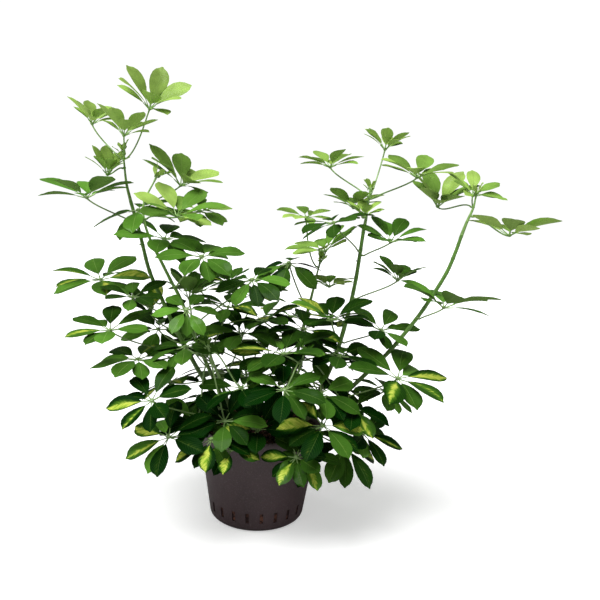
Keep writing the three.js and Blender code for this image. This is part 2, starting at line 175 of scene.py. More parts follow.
def place_group(tree, group, **values):
    """Places a node group with its own values. Gives its output sockets."""
    return add(tree, "ShaderNodeGroup", {"node_tree": group}, **values).outputs


def mix_part(tree, mask, part, first, second):
    """Mixes in a second colour by a part of a mask."""
    return mix_colour(tree, math_node(tree, "MULTIPLY", mask, part), first, second)


def bump_surface(tree, shader, height, strength, depth):
    """Joins a height to a shader as bump. The depth is in metres."""
    bump = add(tree, "ShaderNodeBump", Strength=strength, Distance=depth, Height=height)
    feed(tree, shader, Normal=bump.outputs["Normal"])


# %% [markdown]
# Bark, plastic and clay are all a little uneven at two scales: broad clouds, and fine grain.
# Painted pictures could give that, but they need a map for every piece and blur up close. One
# group gives both from two noise textures that read the piece's own coordinates in space, so
# the unevenness stays put from any side. It puts out a mask for colour and a height for bump.

# %% A group for uneven surfaces
def uneven_group():
    group, inputs, outputs = new_group(
        "uneven surface",
        [("Cloud Scale", "NodeSocketFloat", 20.0), ("Grain Scale", "NodeSocketFloat", 400.0)],
        [("Clouds", "NodeSocketFloat"), ("Grain", "NodeSocketFloat")],
    )
    where = group.nodes.new("ShaderNodeTexCoord").outputs["Object"]
    for scale, out, detail in (("Cloud Scale", "Clouds", 3.0), ("Grain Scale", "Grain", 2.0)):
        size = inputs.outputs[scale]
        noise = add(group, "ShaderNodeTexNoise", Vector=where, Scale=size, Detail=detail)
        group.links.new(noise.outputs["Fac"], outputs.inputs[out])
    return group


UNEVEN = uneven_group()

# %% [markdown]
# ## The pot
# A culture pot is moulded in one piece of recycled dark plastic: satin, faintly mottled, with
# drain slots just above its foot. It is round, so its wall is a drawn profile that is spun
# round the middle. Its sizes come first, as named values.

# %% Sizes of the pot, in millimetres
POT_HEIGHT = 190
RIM_RADIUS = 123
RIM_BAND = 9
RIM_ROUNDING = 0.8
WALL_TOP_RADIUS = 120
WALL_RINGS = (80, 130)
FOOT_RADIUS = 92
FOOT_CORNER = 14
CORNER_STEPS = 6
FLAT_MIDDLE = 40
WALL = 2.5
FLOOR = 3
SLOTS = 22
SLOT_LOW = 20
SLOT_HIGH = 41
SLOT_TURN = 9
SPIN_STEPS = 4 * SLOTS


def wall_at(z):
    """The radius of the wall's outside at a height."""
    return FOOT_RADIUS + (WALL_TOP_RADIUS - FOOT_RADIUS) * z / (POT_HEIGHT - RIM_BAND)


def inner_at(z):
    return wall_at(z) - WALL


print("pot:", 2 * RIM_RADIUS, "mm across and", POT_HEIGHT, "mm high, with", SLOTS, "slots")

# %% [markdown]
# The wall could be a cone with a modifier that gives it thickness. A profile that goes up on
# the outside and back down on the inside gives the foot's round corner and the rim's band as
# well, and it closes by itself. Spinning in four steps to a slot puts a step edge on both
# sides of every slot.

# %% The pot's profile and wall
def pot_profile():
    """Radius and height along the pot's section, from its underside out, up and back in."""
    centre = wall_at(FOOT_CORNER) - FOOT_CORNER
    corner = []
    for step in range(CORNER_STEPS + 1):
        turn = math.radians(90 / CORNER_STEPS * step)
        out, up = math.sin(turn), 1 - math.cos(turn)
        corner.append((centre + FOOT_CORNER * out, FOOT_CORNER * up))
    under_rim = POT_HEIGHT - RIM_BAND
    outside = [(0, 0), (FLAT_MIDDLE, 0), *corner]
    outside += [(wall_at(z), z) for z in (SLOT_LOW, SLOT_HIGH, *WALL_RINGS)]
    rim = [
        (WALL_TOP_RADIUS, under_rim),
        (RIM_RADIUS, under_rim),
        (RIM_RADIUS, POT_HEIGHT),
        (inner_at(POT_HEIGHT), POT_HEIGHT),
    ]
    levels = (*reversed(WALL_RINGS), SLOT_HIGH, SLOT_LOW, FOOT_CORNER)
    inside = [(inner_at(z), z) for z in levels]
    floor = [(inner_at(FOOT_CORNER) - FOOT_CORNER + FLOOR, FLOOR), (0, FLOOR)]
    return outside + rim + inside + floor


def pot_wall():
    """The pot's profile, spun round its middle line."""
    bm = bmesh.new()
    start = Matrix.Rotation(math.radians(SLOT_TURN - 180 / SPIN_STEPS), 4, "Z")
    points = [bm.verts.new(start @ Vector((0, -r, z))) for r, z in pot_profile()]
    edges = [bm.edges.new(pair) for pair in zip(points, points[1:])]
    bmesh.ops.spin(
        bm,
        geom=points + edges,
        axis=(0, 0, 1),
        cent=(0, 0, 0),
        angle=math.tau,
        steps=SPIN_STEPS,
        use_merge=True,
    )
    bmesh.ops.remove_doubles(bm, verts=bm.verts, dist=0.01)
    bmesh.ops.recalc_face_normals(bm, faces=bm.faces)
    return bm


# %% [markdown]
# A moulded slot is a clean hole with walls of its own. Cutting it with a boolean works, but
# leaves long thin faces that shade badly. The spin has already put edges where the slots end,
# so one face of the outer wall and one of the inner wall are taken out, and the two holes are
# bridged.

# %% Open the slots
INSIDE_THE_WALL = 60
IN_LINE = math.cos(math.radians(1))


def slot_faces(bm, number):
    """The outer and the inner face that one slot takes out."""
    turn = math.radians(SLOT_TURN + 360 / SLOTS * number)
    toward = Vector((math.sin(turn), -math.cos(turn), 0))
    found = []
    for face in bm.faces:
        middle = face.calc_center_median()
        if SLOT_LOW < middle.z < SLOT_HIGH and middle.xy.length > INSIDE_THE_WALL:
            if middle.xy.normalized().dot(toward.xy) > IN_LINE:
                found.append(face)
    return found


def open_slots(bm):
    for number in range(SLOTS):
        faces = slot_faces(bm, number)
        around = [edge for face in faces for edge in face.edges]
        bmesh.ops.delete(bm, geom=faces, context="FACES_ONLY")
        bmesh.ops.bridge_loops(bm, edges=around)
    bmesh.ops.recalc_face_normals(bm, faces=bm.faces)


# %% [markdown]
# No moulded edge is knife-sharp: light always catches a thin line along it. A bevel modifier
# could round all edges of the pot, but only the rim's are near enough to be seen, so those are
# picked by their height and radius and bevelled once.

# %% Soften the rim
def soften_rim(bm):
    """Rounds the two upper edges of the rim band and the one below it."""
    radii = (RIM_RADIUS, inner_at(POT_HEIGHT))
    edges = []
    for edge in bm.edges:
        low, high = edge.verts
        level = abs(low.co.z - high.co.z) < 0.01
        at_rim = any(abs(low.co.xy.length - r) < 0.05 for r in radii)
        if level and at_rim and low.co.z > POT_HEIGHT - RIM_BAND - 1:
            edges.append(edge)
    bmesh.ops.bevel(
        bm,
        geom=edges,
        offset=RIM_ROUNDING,
        segments=2,
        profile=0.5,
        affect="EDGES",
        material=-1,
    )


# %% [markdown]
# The plastic is a warm dark grey. One flat colour would look like paint. Fine pale specks and
# soft clouds break it up, and a slight bump breaks up its highlight, as on any pot that was
# moulded from regrind. The roughness changes with the clouds too.

# %% The pot's plastic
DARK_PLASTIC = (0.05, 0.029, 0.032)
CLOUDED_PLASTIC = (0.07, 0.042, 0.046)
PALE_SPECK = (0.13, 0.1, 0.102)


def pot_plastic():
    material, tree, shader = new_material("pot plastic")
    uneven = place_group(tree, UNEVEN, Cloud_Scale=14.0, Grain_Scale=420.0)
    clouds = ramp(tree, uneven["Clouds"], 0.3, 0.75)
    specks = ramp(tree, uneven["Grain"], 0.5, 0.78)
    cloudy = mix_colour(tree, clouds, DARK_PLASTIC, CLOUDED_PLASTIC)
    speckled = mix_part(tree, specks, 0.5, cloudy, PALE_SPECK)
    rough = math_node(tree, "MULTIPLY_ADD", clouds, 0.1, 0.42)
    feed(tree, shader, Base_Color=speckled, Roughness=rough)
    bump_surface(tree, shader, uneven["Grain"], strength=0.25, depth=0.0006)
    return material


POT_PLASTIC = pot_plastic()
pot_mesh = pot_wall()
open_slots(pot_mesh)
soften_rim(pot_mesh)
pot = finish_piece(pot_mesh, "culture_pot", [POT_PLASTIC], "pot", crease=30)
print("pot faces:", len(pot.data.polygons))

# %% [markdown]
# ## The granulate
# Such a pot holds expanded clay: light, red-brown pebbles, baked in a rotating kiln. The CAD
# solid for it stays, because its sides show only as colour behind the slots. Thousands of
# pebbles could fill the pot instead, but nobody would see them. So its material is bumped with
# cells of a pebble's size, with painted shade in the gaps between the cells, and only on top
# will lie loose pebbles.

# %% The clay
CLAY_DARK = (0.085, 0.032, 0.02)
CLAY_LIGHT = (0.19, 0.08, 0.05)
# painted shade: this dark colour goes into the gaps between the pebble-sized cells, as the
# shade between pebbles
CLAY_GAP_SHADE = (0.03, 0.012, 0.01)


def fired_clay():
    material, tree, shader = new_material("fired clay")
    where = tree.nodes.new("ShaderNodeTexCoord").outputs["Object"]
    cells = add(tree, "ShaderNodeTexVoronoi", Vector=where, Scale=95.0)
    uneven = place_group(tree, UNEVEN, Cloud_Scale=60.0, Grain_Scale=700.0)
    shade = ramp(tree, uneven["Clouds"], 0.3, 0.7)
    baked = mix_colour(tree, shade, CLAY_DARK, CLAY_LIGHT)
    # painted shade: the gaps between the cells are mixed toward the dark gap colour
    gaps = ramp(tree, cells.outputs["Distance"], 0.35, 0.65)
    feed(tree, shader, Base_Color=mix_colour(tree, gaps, baked, CLAY_GAP_SHADE), Roughness=0.9)
    height = math_node(tree, "MULTIPLY_ADD", gaps, -1.0, uneven["Grain"])
    bump_surface(tree, shader, height, strength=0.6, depth=0.002)
    return material


FIRED_CLAY = fired_clay()
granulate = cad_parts["granulate"]
granulate.data.materials.clear()
granulate.data.materials.append(FIRED_CLAY)
print("clay on:", granulate.name)

# %% [markdown]
# ## The canes
# Eight canes stand in the granulate. Each is a row of points that it passes through, and the
# shoot at its end goes on from the last one. Points are millimetres from the middle of the
# pot's foot: x to the right, y away from the viewer, z up. The two radii are those of the
# cane's foot and of its tip.

# %% Where the canes run
CANES = {
    "left_tall": {
        "radii": (5, 3.4),
        "line": [
            (-35, -25, 100), (-60, -20, 185), (-90, -10, 240), (-130, 0, 300),
            (-180, 10, 385), (-200, 15, 425), (-228, 25, 480), (-250, 35, 553),
            (-270, 42, 615),
        ],
        "shoot": [(-280, 48, 650), (-287, 54, 700)],
    },
    "left": {
        "radii": (4.4, 2.8),
        "line": [
            (-25, -55, 100), (-45, -50, 190), (-72, -48, 255), (-118, -45, 350),
            (-152, -42, 433), (-175, -40, 475), (-197, -36, 515), (-213, -32, 542),
        ],
        "shoot": [(-227, -28, 580), (-230, -18, 615), (-215, 0, 655)],
    },
    "middle": {
        "radii": (5, 3.6),
        "line": [
            (60, 15, 100), (80, 20, 170), (100, 24, 215), (130, 28, 280),
            (152, 33, 345), (167, 38, 408), (178, 42, 470), (184, 47, 520),
            (190, 51, 580),
        ],
        "shoot": [(193, 53, 597), (198, 57, 648)],
    },
    "right": {
        "radii": (4.8, 3.5),
        "line": [
            (38, -28, 110), (74, -29, 190), (104, -29, 219), (152, -29, 253),
            (211, -28, 314), (245, -27, 351), (275, -26, 391), (305, -24, 435),
            (342, -23, 502), (358, -22, 545), (368, -21, 580),
        ],
        "shoot": [(376, -20, 605), (386, -18, 630), (390, -14, 650)],
    },
    "back": {
        "radii": (4.4, 3.2),
        "line": [
            (20, 35, 100), (38, 42, 187), (62, 52, 285), (78, 62, 368),
            (90, 70, 420),
        ],
        "shoot": [(97, 75, 455), (106, 82, 500)],
    },
    "front_left": {
        "radii": (4.4, 3.2),
        "line": [
            (-25, -68, 110), (-35, -75, 185), (-55, -88, 255), (-72, -95, 305),
        ],
        "shoot": [(-82, -99, 330), (-90, -102, 355)],
    },
    "front_right": {
        "radii": (4.4, 3.2),
        "line": [
            (25, -65, 110), (38, -72, 185), (55, -84, 255), (66, -90, 300),
        ],
        "shoot": [(74, -93, 325), (80, -96, 350)],
    },
    "rear": {
        "radii": (4.4, 3.2),
        "line": [
            (-15, 55, 100), (-20, 68, 185), (-23, 73, 205),
        ],
        "shoot": [
            (-27, 79, 225), (-35, 90, 255), (-52, 118, 325), (-60, 134, 360),
            (-65, 146, 395),
        ],
    },
}

print("canes to draw:", len(CANES))

# %% [markdown]
# Stems and stalks are all round bars along bent lines. A curve object with a thickness could
# draw them, but it allows no ring of its own at each point. So a bar here is a ring that is
# pushed out again and again. Each push copies the ring's edges, and a matrix then carries the
# copy from the last place to the next one. The matrices turn as little as they can from place
# to place, so the bar never twists.

# %% A bar along a line
def places_along(points, radii, facing):
    """A matrix for each ring of a bar: where it lies, how it is turned, and its radius."""
    side = Vector(facing)
    before = None
    places = []
    for number, point in enumerate(points):
        ahead = points[min(number + 1, len(points) - 1)]
        along = (ahead - points[max(number - 1, 0)]).normalized()
        if before:
            side = before.rotation_difference(along) @ side
        side = (side - along * side.dot(along)).normalized()
        before = along
        across = along.cross(side)
        radius = radii[number]
        place = Matrix((side * radius, across * radius, along * radius)).transposed().to_4x4()
        place.translation = point
        places.append(place)
    return places


def draw_bar(bm, points, radii, sides, facing=(0, 1, 0)):
    """Adds a closed round bar along a line of points. Gives its faces."""
    places = places_along(points, radii, facing)
    known = set(bm.faces)
    ring = bmesh.ops.create_circle(
        bm, cap_ends=True, segments=sides, radius=1, matrix=places[0]
    )
    first_cap = ring["verts"][0].link_faces[0]
    edges = list(first_cap.edges)
    first_cap.normal_flip()
    for here, there in zip(places, places[1:]):
        pushed = bmesh.ops.extrude_edge_only(bm, edges=edges)["geom"]
        moved = [item for item in pushed if isinstance(item, bmesh.types.BMVert)]
        edges = [item for item in pushed if isinstance(item, bmesh.types.BMEdge)]
        bmesh.ops.transform(bm, matrix=there @ here.inverted(), verts=moved)
    bmesh.ops.contextual_create(bm, geom=edges)
    made = [face for face in bm.faces if face not in known]
    bmesh.ops.recalc_face_normals(bm, faces=made)
    return made


# %% [markdown]
# A living stem has no kinks, and straight runs between the cane's points would show as such.
# Blender's curves have handles that must be set at each point. Here the line is smoothed
# instead by a curve that goes through every point, with its direction at each taken from the
# points on both sides.

# %% Smooth a line
def smooth_line(points, step):
    """Points about a step apart on a smooth curve through the given points."""
    ends = [2 * points[0] - points[1], *points, 2 * points[-1] - points[-2]]
    out = []
    for a, b, c, d in zip(ends, ends[1:], ends[2:], ends[3:]):
        count = max(1, round((c - b).length / step))
        for k in range(count):
            t = k / count
            bent = 2 * b + (c - a) * t + (2 * a - 5 * b + 4 * c - d) * t * t
            out.append(0.5 * (bent + (3 * b - a - 3 * c + d) * t * t * t))
    return [*out, points[-1].copy()]


# %% [markdown]
# A cane keeps a mark of every leaf that it has dropped: a low ring, and often the dried stub
# of the leaf's stalk. Both could be left to a bump, but they show at the cane's edge, so they
# are real forms. The rings are a rise and fall of the radius along the cane, and the stubs are
# short cones that point outwards and up, each turned on from the one before.

# %% One cane
CANE_STEP = 6
CANE_SIDES = 10
MARK_SPACING = 27
MARK_RISE = 0.13
GOLDEN_TURN = math.radians(137.5)
FIRST_STUB = 12
STUB_EVERY = 5
STUB_CHANCE = 0.45
STUB_RADII = [1.5, 0.7]


def draw_cane(bm, cane, seed):
    """Adds a cane with its rings and stubs. Gives the number of stubs."""
    draw = draws_from(seed)
    foot_radius, tip_radius = cane["radii"]
    points = smooth_line([Vector(p) for p in cane["line"]], CANE_STEP)
    radii = []
    walked = 0
    phase = MARK_SPACING * draw()
    for number, point in enumerate(points):
        walked += (point - points[max(number - 1, 0)]).length
        share = number / (len(points) - 1)
        ring = abs((walked + phase) % MARK_SPACING - MARK_SPACING / 2) / (MARK_SPACING / 2)
        plain = foot_radius + (tip_radius - foot_radius) * share
        radii.append(plain * (1 + MARK_RISE * ring**6))
    draw_bar(bm, points, radii, CANE_SIDES)
    stubs = 0
    for number in range(FIRST_STUB, len(points) - 2, STUB_EVERY):
        if draw() < STUB_CHANCE:
            turn = GOLDEN_TURN * number
            draw_stub(bm, points[number], points[number + 1], radii[number], turn, draw)
            stubs += 1
    return stubs


def draw_stub(bm, point, ahead, radius, turn, draw):
    """The short dried end of a leaf stalk on a cane."""
    along = (ahead - point).normalized()
    side = along.orthogonal().normalized()
    out = Quaternion(along, turn) @ side
    toward = (out + along * (0.4 + 0.5 * draw())).normalized()
    start = point + out * (radius * 0.6)
    reach = 4 + 5 * draw()
    draw_bar(bm, [start, start + toward * reach], STUB_RADII, 5)


# %% [markdown]
# The bark is green for years, then slowly turns to a dull grey-green from the foot up. Two
# materials could meet half-way, but a plant has no such border. So the colour is mixed by
# height, roughened by clouds so that the change has no clean edge, and fine pale dots stand
# for the pores.

# %% The bark
OLD_BARK = (0.06, 0.085, 0.025), (0.14, 0.17, 0.06)
FRESH_BARK = (0.06, 0.17, 0.018), (0.17, 0.36, 0.05)
PORE = (0.36, 0.36, 0.24)
BARK_CHANGES = 0.2, 0.52
CANE_SEED = 400


def green_bark():
    material, tree, shader = new_material("green bark")
    where = tree.nodes.new("ShaderNodeTexCoord").outputs["Object"]
    height = add(tree, "ShaderNodeSeparateXYZ", Vector=where)
    uneven = place_group(tree, UNEVEN, Cloud_Scale=45.0, Grain_Scale=900.0)
    clouds = uneven["Clouds"]
    level = math_node(tree, "MULTIPLY_ADD", clouds, 0.16, height.outputs["Z"])
    up = ramp(tree, level, *BARK_CHANGES)
    old = mix_colour(tree, clouds, *OLD_BARK)
    fresh = mix_colour(tree, clouds, *FRESH_BARK)
    bark = mix_colour(tree, up, old, fresh)
    pores = ramp(tree, uneven["Grain"], 0.62, 0.75)
    dotted = mix_part(tree, pores, 0.35, bark, PORE)
    feed(tree, shader, Base_Color=dotted, Roughness=0.55)
    bump_surface(tree, shader, uneven["Grain"], strength=0.35, depth=0.0006)
    return material


GREEN_BARK = green_bark()
stub_count = 0
for number, (cane_name, cane) in enumerate(CANES.items()):
    cane_mesh = bmesh.new()
    stub_count += draw_cane(cane_mesh, cane, CANE_SEED + 31 * number)
    finish_piece(cane_mesh, "stem_" + cane_name, [GREEN_BARK], "cane_" + cane_name)
print("canes:", len(CANES), "with", stub_count, "stubs")

# %% [markdown]
# ## Loose pebbles
# The pebbles come after the canes, because none may lie inside one. A physics simulation could
# drop them in, but it takes long and the leaves hide nearly all of it. So they are laid out on
# a spiral that fills the pot evenly, and each is pushed off its place a little. A pebble is a
# small ball with few faces that is squeezed and turned by its own draws.

# %% Lay the pebbles
FILL_LEVEL = 176
PEBBLE = 5.2
PEBBLES = 330
PEBBLE_SEED = 5
BED_MARGIN = 7
PUSH = 3
CLEAR_OF_STEM = 11


def cane_at(line, radii, height):
    """The point, the direction and the radius of a cane at a height."""
    number = 0
    while number + 2 < len(line) and line[number + 1][2] < height:
        number += 1
    low, high = Vector(line[number]), Vector(line[number + 1])
    share = min(max((height - low.z) / (high.z - low.z), 0), 1)
    radius = radii[0] + (radii[1] - radii[0]) * (number + share) / (len(line) - 1)
    return low.lerp(high, share), (high - low).normalized(), radius


def draw_pebbles(bm):
    """Adds the loose pebbles and gives their number."""
    draw = draws_from(PEBBLE_SEED)
    bed = inner_at(FILL_LEVEL) - BED_MARGIN
    standing = []
    for cane in CANES.values():
        standing.append(cane_at(cane["line"], cane["radii"], FILL_LEVEL)[0].xy)
    laid = 0
    for number in range(PEBBLES):
        out = bed * math.sqrt((number + 0.5) / PEBBLES)
        turn = GOLDEN_TURN * number
        along, away = out * math.cos(turn) + PUSH * draw(), out * math.sin(turn) + PUSH * draw()
        spot = Vector((along, away))
        if min((spot - stem).length for stem in standing) < CLEAR_OF_STEM or spot.length > bed:
            continue
        size = PEBBLE * (0.8 + 0.5 * draw())
        place = Matrix.Translation((spot.x, spot.y, FILL_LEVEL + 1 + PUSH * draw()))
        turned = Matrix.Rotation(math.tau * draw(), 4, "Z")
        turned = turned @ Matrix.Rotation(math.pi * draw(), 4, "X")
        squeezed = Matrix.Diagonal((1, 0.75 + 0.2 * draw(), 0.7 + 0.2 * draw(), 1))
        matrix = place @ turned @ squeezed
        bmesh.ops.create_icosphere(bm, subdivisions=1, radius=size, matrix=matrix)
        laid += 1
    return laid


pebble_mesh = bmesh.new()
pebble_count = draw_pebbles(pebble_mesh)
finish_piece(pebble_mesh, "loose_pebbles", [FIRED_CLAY], None, crease=80)
print("pebbles:", pebble_count)

# %% [markdown]
# ## The leaves
# What looks like one leaf on a twig is a leaflet. An umbrella leaf is a long stalk with up to
# nine leaflets round its end, like the ribs of an umbrella. Leaves could be scattered along
# the canes by chance, but here each has its own place on the plant, so a table holds them. A
# row is one such leaf: the node and cane it belongs to, the x, y, z of its hub, how far its
# face tilts from upright and to which side, how far its leaflets rise, how many the CAD leaf
# has, the turn of the first one and their length. The last two numbers are for its look. The
# first goes from 0 for the darkest green up to 1 for the lightest. It is partly the leaf's own
# youth, a new leaf being bright, and partly painted shade and light: leaves deep in the
# foliage are set darker as painted shade, and some that lie in shadow lighter as painted
# light. The last is the share of it that is yellow.

# %% Where the leaves are
# painted shade and light: the second-last number of a row is partly the leaf's youth, partly
# painted shade on leaves deep in the foliage and painted light on shaded ones
LEAVES = [
    ("shoot_left_tall", "left_tall", -240, 70, 795, 35, 300, 40, 6, 35, 90, 0.95, 0),
    ("shoot_left_tall", "left_tall", -365, 110, 765, 15, 330, 35, 6, 35, 66, 1, 0),
    ("shoot_left_tall", "left_tall", -280, 30, 740, 10, 45, 35, 6, 30, 72, 0.95, 0),
    ("shoot_left_tall", "left_tall", -320, 60, 665, 20, 300, 50, 6, 0, 62, 0.95, 0),
    ("shoot_left", "left", -175, 60, 650, 25, 330, 30, 6, 20, 98, 0.5, 0),
    ("shoot_left", "left", -160, -60, 595, 20, 300, 20, 6, 5, 92, 0.32, 0),
    ("shoot_middle", "middle", 285, 30, 685, 15, 285, 20, 6, 30, 86, 0.5, 0),
    ("shoot_middle", "middle", 230, 120, 740, 5, 0, 35, 6, 20, 62, 0.7, 0),
    ("shoot_middle", "middle", 120, 130, 700, 5, 210, 20, 6, 20, 76, 0.6, 0),
    ("shoot_middle", "middle", 170, 90, 620, 5, 100, 25, 6, 65, 72, 0.4, 0),
    ("shoot_middle", "middle", 185, 20, 605, 10, 300, 35, 6, 35, 48, 0.9, 0),
    ("shoot_right", "right", 455, -30, 585, 5, 60, 18, 6, 20, 98, 0.5, 0),
    ("shoot_right", "right", 395, 30, 655, 25, 300, 22, 6, 30, 66, 0.58, 0),
    ("shoot_right", "right", 340, 90, 630, 20, 285, 38, 6, 5, 96, 0.55, 0),
    ("shoot_back", "back", 75, 120, 595, 10, 285, 12, 5, 35, 64, 0.5, 0),
    ("shoot_back", "back", 115, 30, 535, 25, 195, 20, 5, 5, 84, 0.4, 0),
    ("shoot_back", "back", 130, 105, 455, 10, 90, 20, 5, 0, 62, 0.35, 0),
    ("shoot_rear", "rear", -150, 190, 420, 15, 150, 10, 5, 0, 84, 0.35, 0.05),
    ("shoot_rear", "rear", -35, 235, 405, 15, 90, 10, 5, 10, 86, 0.4, 0.05),
    ("shoot_rear", "rear", 55, 200, 370, 15, 45, 5, 5, 20, 84, 0.3, 0.2),
    ("shoot_rear", "rear", -85, 150, 445, 10, 200, 30, 5, 0, 62, 0.4, 0.05),
    ("leaf_01", "left_tall", -340, -10, 620, 5, 180, 20, 5, -5, 98, 1, 0),
    ("leaf_02", "left", -190, -20, 550, 15, 320, 0, 6, 15, 95, 0.55, 0),
    ("leaf_03", "left_tall", -250, 20, 600, 15, 230, -10, 6, -15, 94, 1, 0),
    ("leaf_04", "left", -105, -120, 530, 20, 280, -5, 6, 40, 82, 0.65, 0),
    ("leaf_05", "left", -20, -60, 485, 20, 250, -15, 6, 0, 78, 0.25, 0),
    ("leaf_06", "back", 45, 20, 510, 20, 262, -25, 6, 0, 78, 0.1, 0),
    ("leaf_07", "left", -145, 0, 435, 5, 15, 45, 6, 20, 72, 0.85, 0),
    ("leaf_08", "left", -75, 60, 410, 5, 345, 5, 5, 30, 82, 0.4, 0.04),
    ("leaf_09", "left", -125, -150, 440, 30, 280, -15, 6, 35, 58, 0.9, 0),
    ("shoot_front_left", "front_left", -140, -70, 355, 15, 210, -5, 6, 5, 78, 0.4, 0.08),
    ("leaf_10", "front_left", -150, -170, 215, 35, 245, 0, 6, 20, 82, 0.04, 0.15),
    ("leaf_11", "front_left", -180, -170, 280, 30, 240, 5, 6, 0, 78, 0.04, 0.15),
    ("leaf_12", "left_tall", -280, -70, 380, 10, 260, 8, 6, 20, 88, 0.35, 0.04),
    ("leaf_13", "left_tall", -335, 60, 455, 14, 260, 5, 6, 35, 104, 0.45, 0.25),
    ("leaf_14", "left_tall", -250, -20, 435, 12, 260, 10, 5, 55, 72, 0.35, 0.05),
    ("leaf_15", "left_tall", -235, 80, 385, 20, 330, 35, 5, 65, 76, 0.25, 0.1),
    ("shoot_front_left", "front_left", -225, -80, 330, 8, 240, 0, 6, -40, 88, 0.3, 0.08),
    ("leaf_16", "front_left", -110, -80, 260, 25, 260, -35, 6, -10, 68, 0.12, 0.05),
    ("leaf_17", "left", -75, -170, 215, 15, 240, -25, 5, 30, 72, 0.07, 0.3),
    ("leaf_18", "front_left", -40, -165, 195, 20, 250, -10, 5, 15, 62, 0.12, 0.5),
    ("leaf_19", "front_right", 120, -175, 250, 25, 290, -8, 6, 20, 85, 0.07, 0.4),
    ("leaf_20", "front_right", 165, -120, 195, 25, 300, -25, 6, 15, 85, 0.07, 0.12),
    ("leaf_21", "right", 200, -80, 205, 40, 330, 10, 6, 35, 80, 0.12, 0.08),
    ("leaf_22", "right", 95, -160, 185, 35, 290, -5, 5, 5, 66, 0.07, 0.2),
    ("leaf_23", "front_right", 75, -175, 190, 40, 240, 10, 5, 75, 68, 0.07, 0.25),
    ("leaf_24", "right", 255, -100, 320, 20, 300, 5, 6, 20, 104, 0.22, 0.2),
    ("leaf_25", "right", 245, -10, 270, 20, 350, -10, 6, 45, 75, 0.5, 0.05),
    ("leaf_26", "middle", 230, -10, 390, 20, 300, 5, 6, 10, 78, 0.2, 0.03),
    ("leaf_27", "right", 335, -70, 450, 10, 30, 15, 6, -5, 104, 0.8, 0.03),
    ("leaf_28", "middle", 265, 60, 480, 5, 345, 30, 6, 25, 66, 1, 0),
    ("leaf_29", "middle", 125, -50, 595, 15, 195, 0, 5, 35, 82, 0.3, 0),
    ("leaf_30", "middle", 240, 10, 560, 20, 285, 25, 6, 20, 76, 0.6, 0),
    ("leaf_31", "middle", 130, -60, 415, 5, 250, 20, 6, 10, 88, 0.2, 0.3),
    ("leaf_32", "middle", 165, 110, 380, 15, 60, 5, 5, 0, 68, 0.2, 0.05),
    ("shoot_front_right", "front_right", 45, -95, 355, 10, 250, 10, 6, 5, 96, 0.3, 0.15),
    ("leaf_33", "back", 0, 10, 395, 15, 200, 15, 5, 10, 80, 0.35, 0.12),
    ("leaf_34", "back", 80, -5, 385, 15, 300, 5, 6, 35, 78, 0.25, 0.05),
    ("shoot_front_left", "front_left", -30, -120, 295, 20, 220, 5, 6, 10, 80, 0.02, 0),
    ("shoot_front_right", "front_right", 50, -170, 310, 25, 265, 0, 6, 5, 76, 0.02, 0),
    ("shoot_front_right", "front_right", 115, -130, 295, 25, 300, 5, 6, 40, 80, 0.07, 0.05),
    ("leaf_35", "middle", 185, 40, 315, 15, 0, 10, 5, 20, 76, 0.12, 0.05),
    ("leaf_36", "rear", -160, 130, 305, 20, 150, -5, 5, 0, 86, 0.12, 0.1),
    ("leaf_37", "rear", 20, 190, 260, 20, 90, -5, 5, 10, 84, 0.12, 0.1),
    ("leaf_38", "back", 140, 160, 295, 20, 50, 0, 5, 10, 84, 0.12, 0.1),
    ("leaf_39", "front_left", 5, -125, 220, 40, 270, 25, 5, 5, 78, 0.04, 0.05),
    ("leaf_40", "back", 0, -55, 250, 20, 265, 15, 5, -10, 60, 0.02, 0.05),
    ("leaf_41", "left", -40, 20, 365, 20, 265, 5, 5, -5, 84, 0.2, 0.05),
    ("leaf_42", "back", 15, -10, 330, 20, 270, 10, 5, -20, 84, 0.15, 0.15),
    ("shoot_rear", "rear", -110, 195, 240, 25, 115, -5, 5, 10, 84, 0.07, 0.1),
    ("shoot_rear", "rear", -20, 225, 305, 20, 90, 0, 5, 35, 80, 0.12, 0.1),
    ("shoot_rear", "rear", 75, 215, 225, 25, 75, -5, 5, 20, 84, 0.07, 0.1),
    ("shoot_rear", "rear", 160, 120, 235, 25, 30, -5, 5, 10, 84, 0.07, 0.1),
    ("shoot_rear", "rear", -200, 105, 235, 25, 160, -5, 5, 0, 84, 0.07, 0.1),
    ("shoot_left", "left", -140, 85, 600, 20, 300, 0, 5, 20, 74, 0.35, 0),
    ("shoot_front_left", "front_left", -215, 50, 360, 20, 255, -5, 5, 15, 84, 0.35, 0.05),
    ("shoot_rear", "rear", -125, 70, 335, 15, 240, 5, 5, 35, 84, 0.15, 0.05),
    ("shoot_front_right", "front_right", 150, -70, 350, 15, 300, 5, 5, 35, 80, 0.15, 0.08),
    ("shoot_front_right", "front_right", 175, -105, 262, 20, 300, 0, 5, 40, 80, 0.04, 0.03),
    ("shoot_front_left", "front_left", -55, -145, 240, 30, 260, 5, 5, 15, 78, 0.02, 0.04),
    ("shoot_front_left", "front_left", -110, -115, 227, 25, 250, 10, 5, 35, 74, 0.02, 0.04),
]
print("umbrella leaves:", len(LEAVES))

# %% [markdown]
# All leaflets have the same make-up. Copies of one finished leaflet would all look alike, so
# one blank is made first and pressed into place again and again. It starts as a flat grid of 4
# by 7 faces. The rows of the grid are drawn in to the outline of the blade, which is widest
# past its middle and blunt at its tip. A second grid is the underside: the same faces turned
# over, and sunk by the thickness of the blade except at the outline, where both are welded.

# %% The blank of a leaflet
LEAFLET_STALK = 0.16
LEAFLET_WIDTH = 0.21
BLADE_THICKNESS = 0.5
BLADE_ROWS = [
    (0, 0.07), (0.12, 0.38), (0.28, 0.72), (0.46, 0.96),
    (0.63, 1), (0.79, 0.87), (0.91, 0.61), (1, 0.2),
]
BLADE_COLUMNS = 4
TIP_BOW = 0.05
SHORT_STALK_RADII = (1.3, 0.85)
UPPER, UNDER, STALK = 1, 2, 3


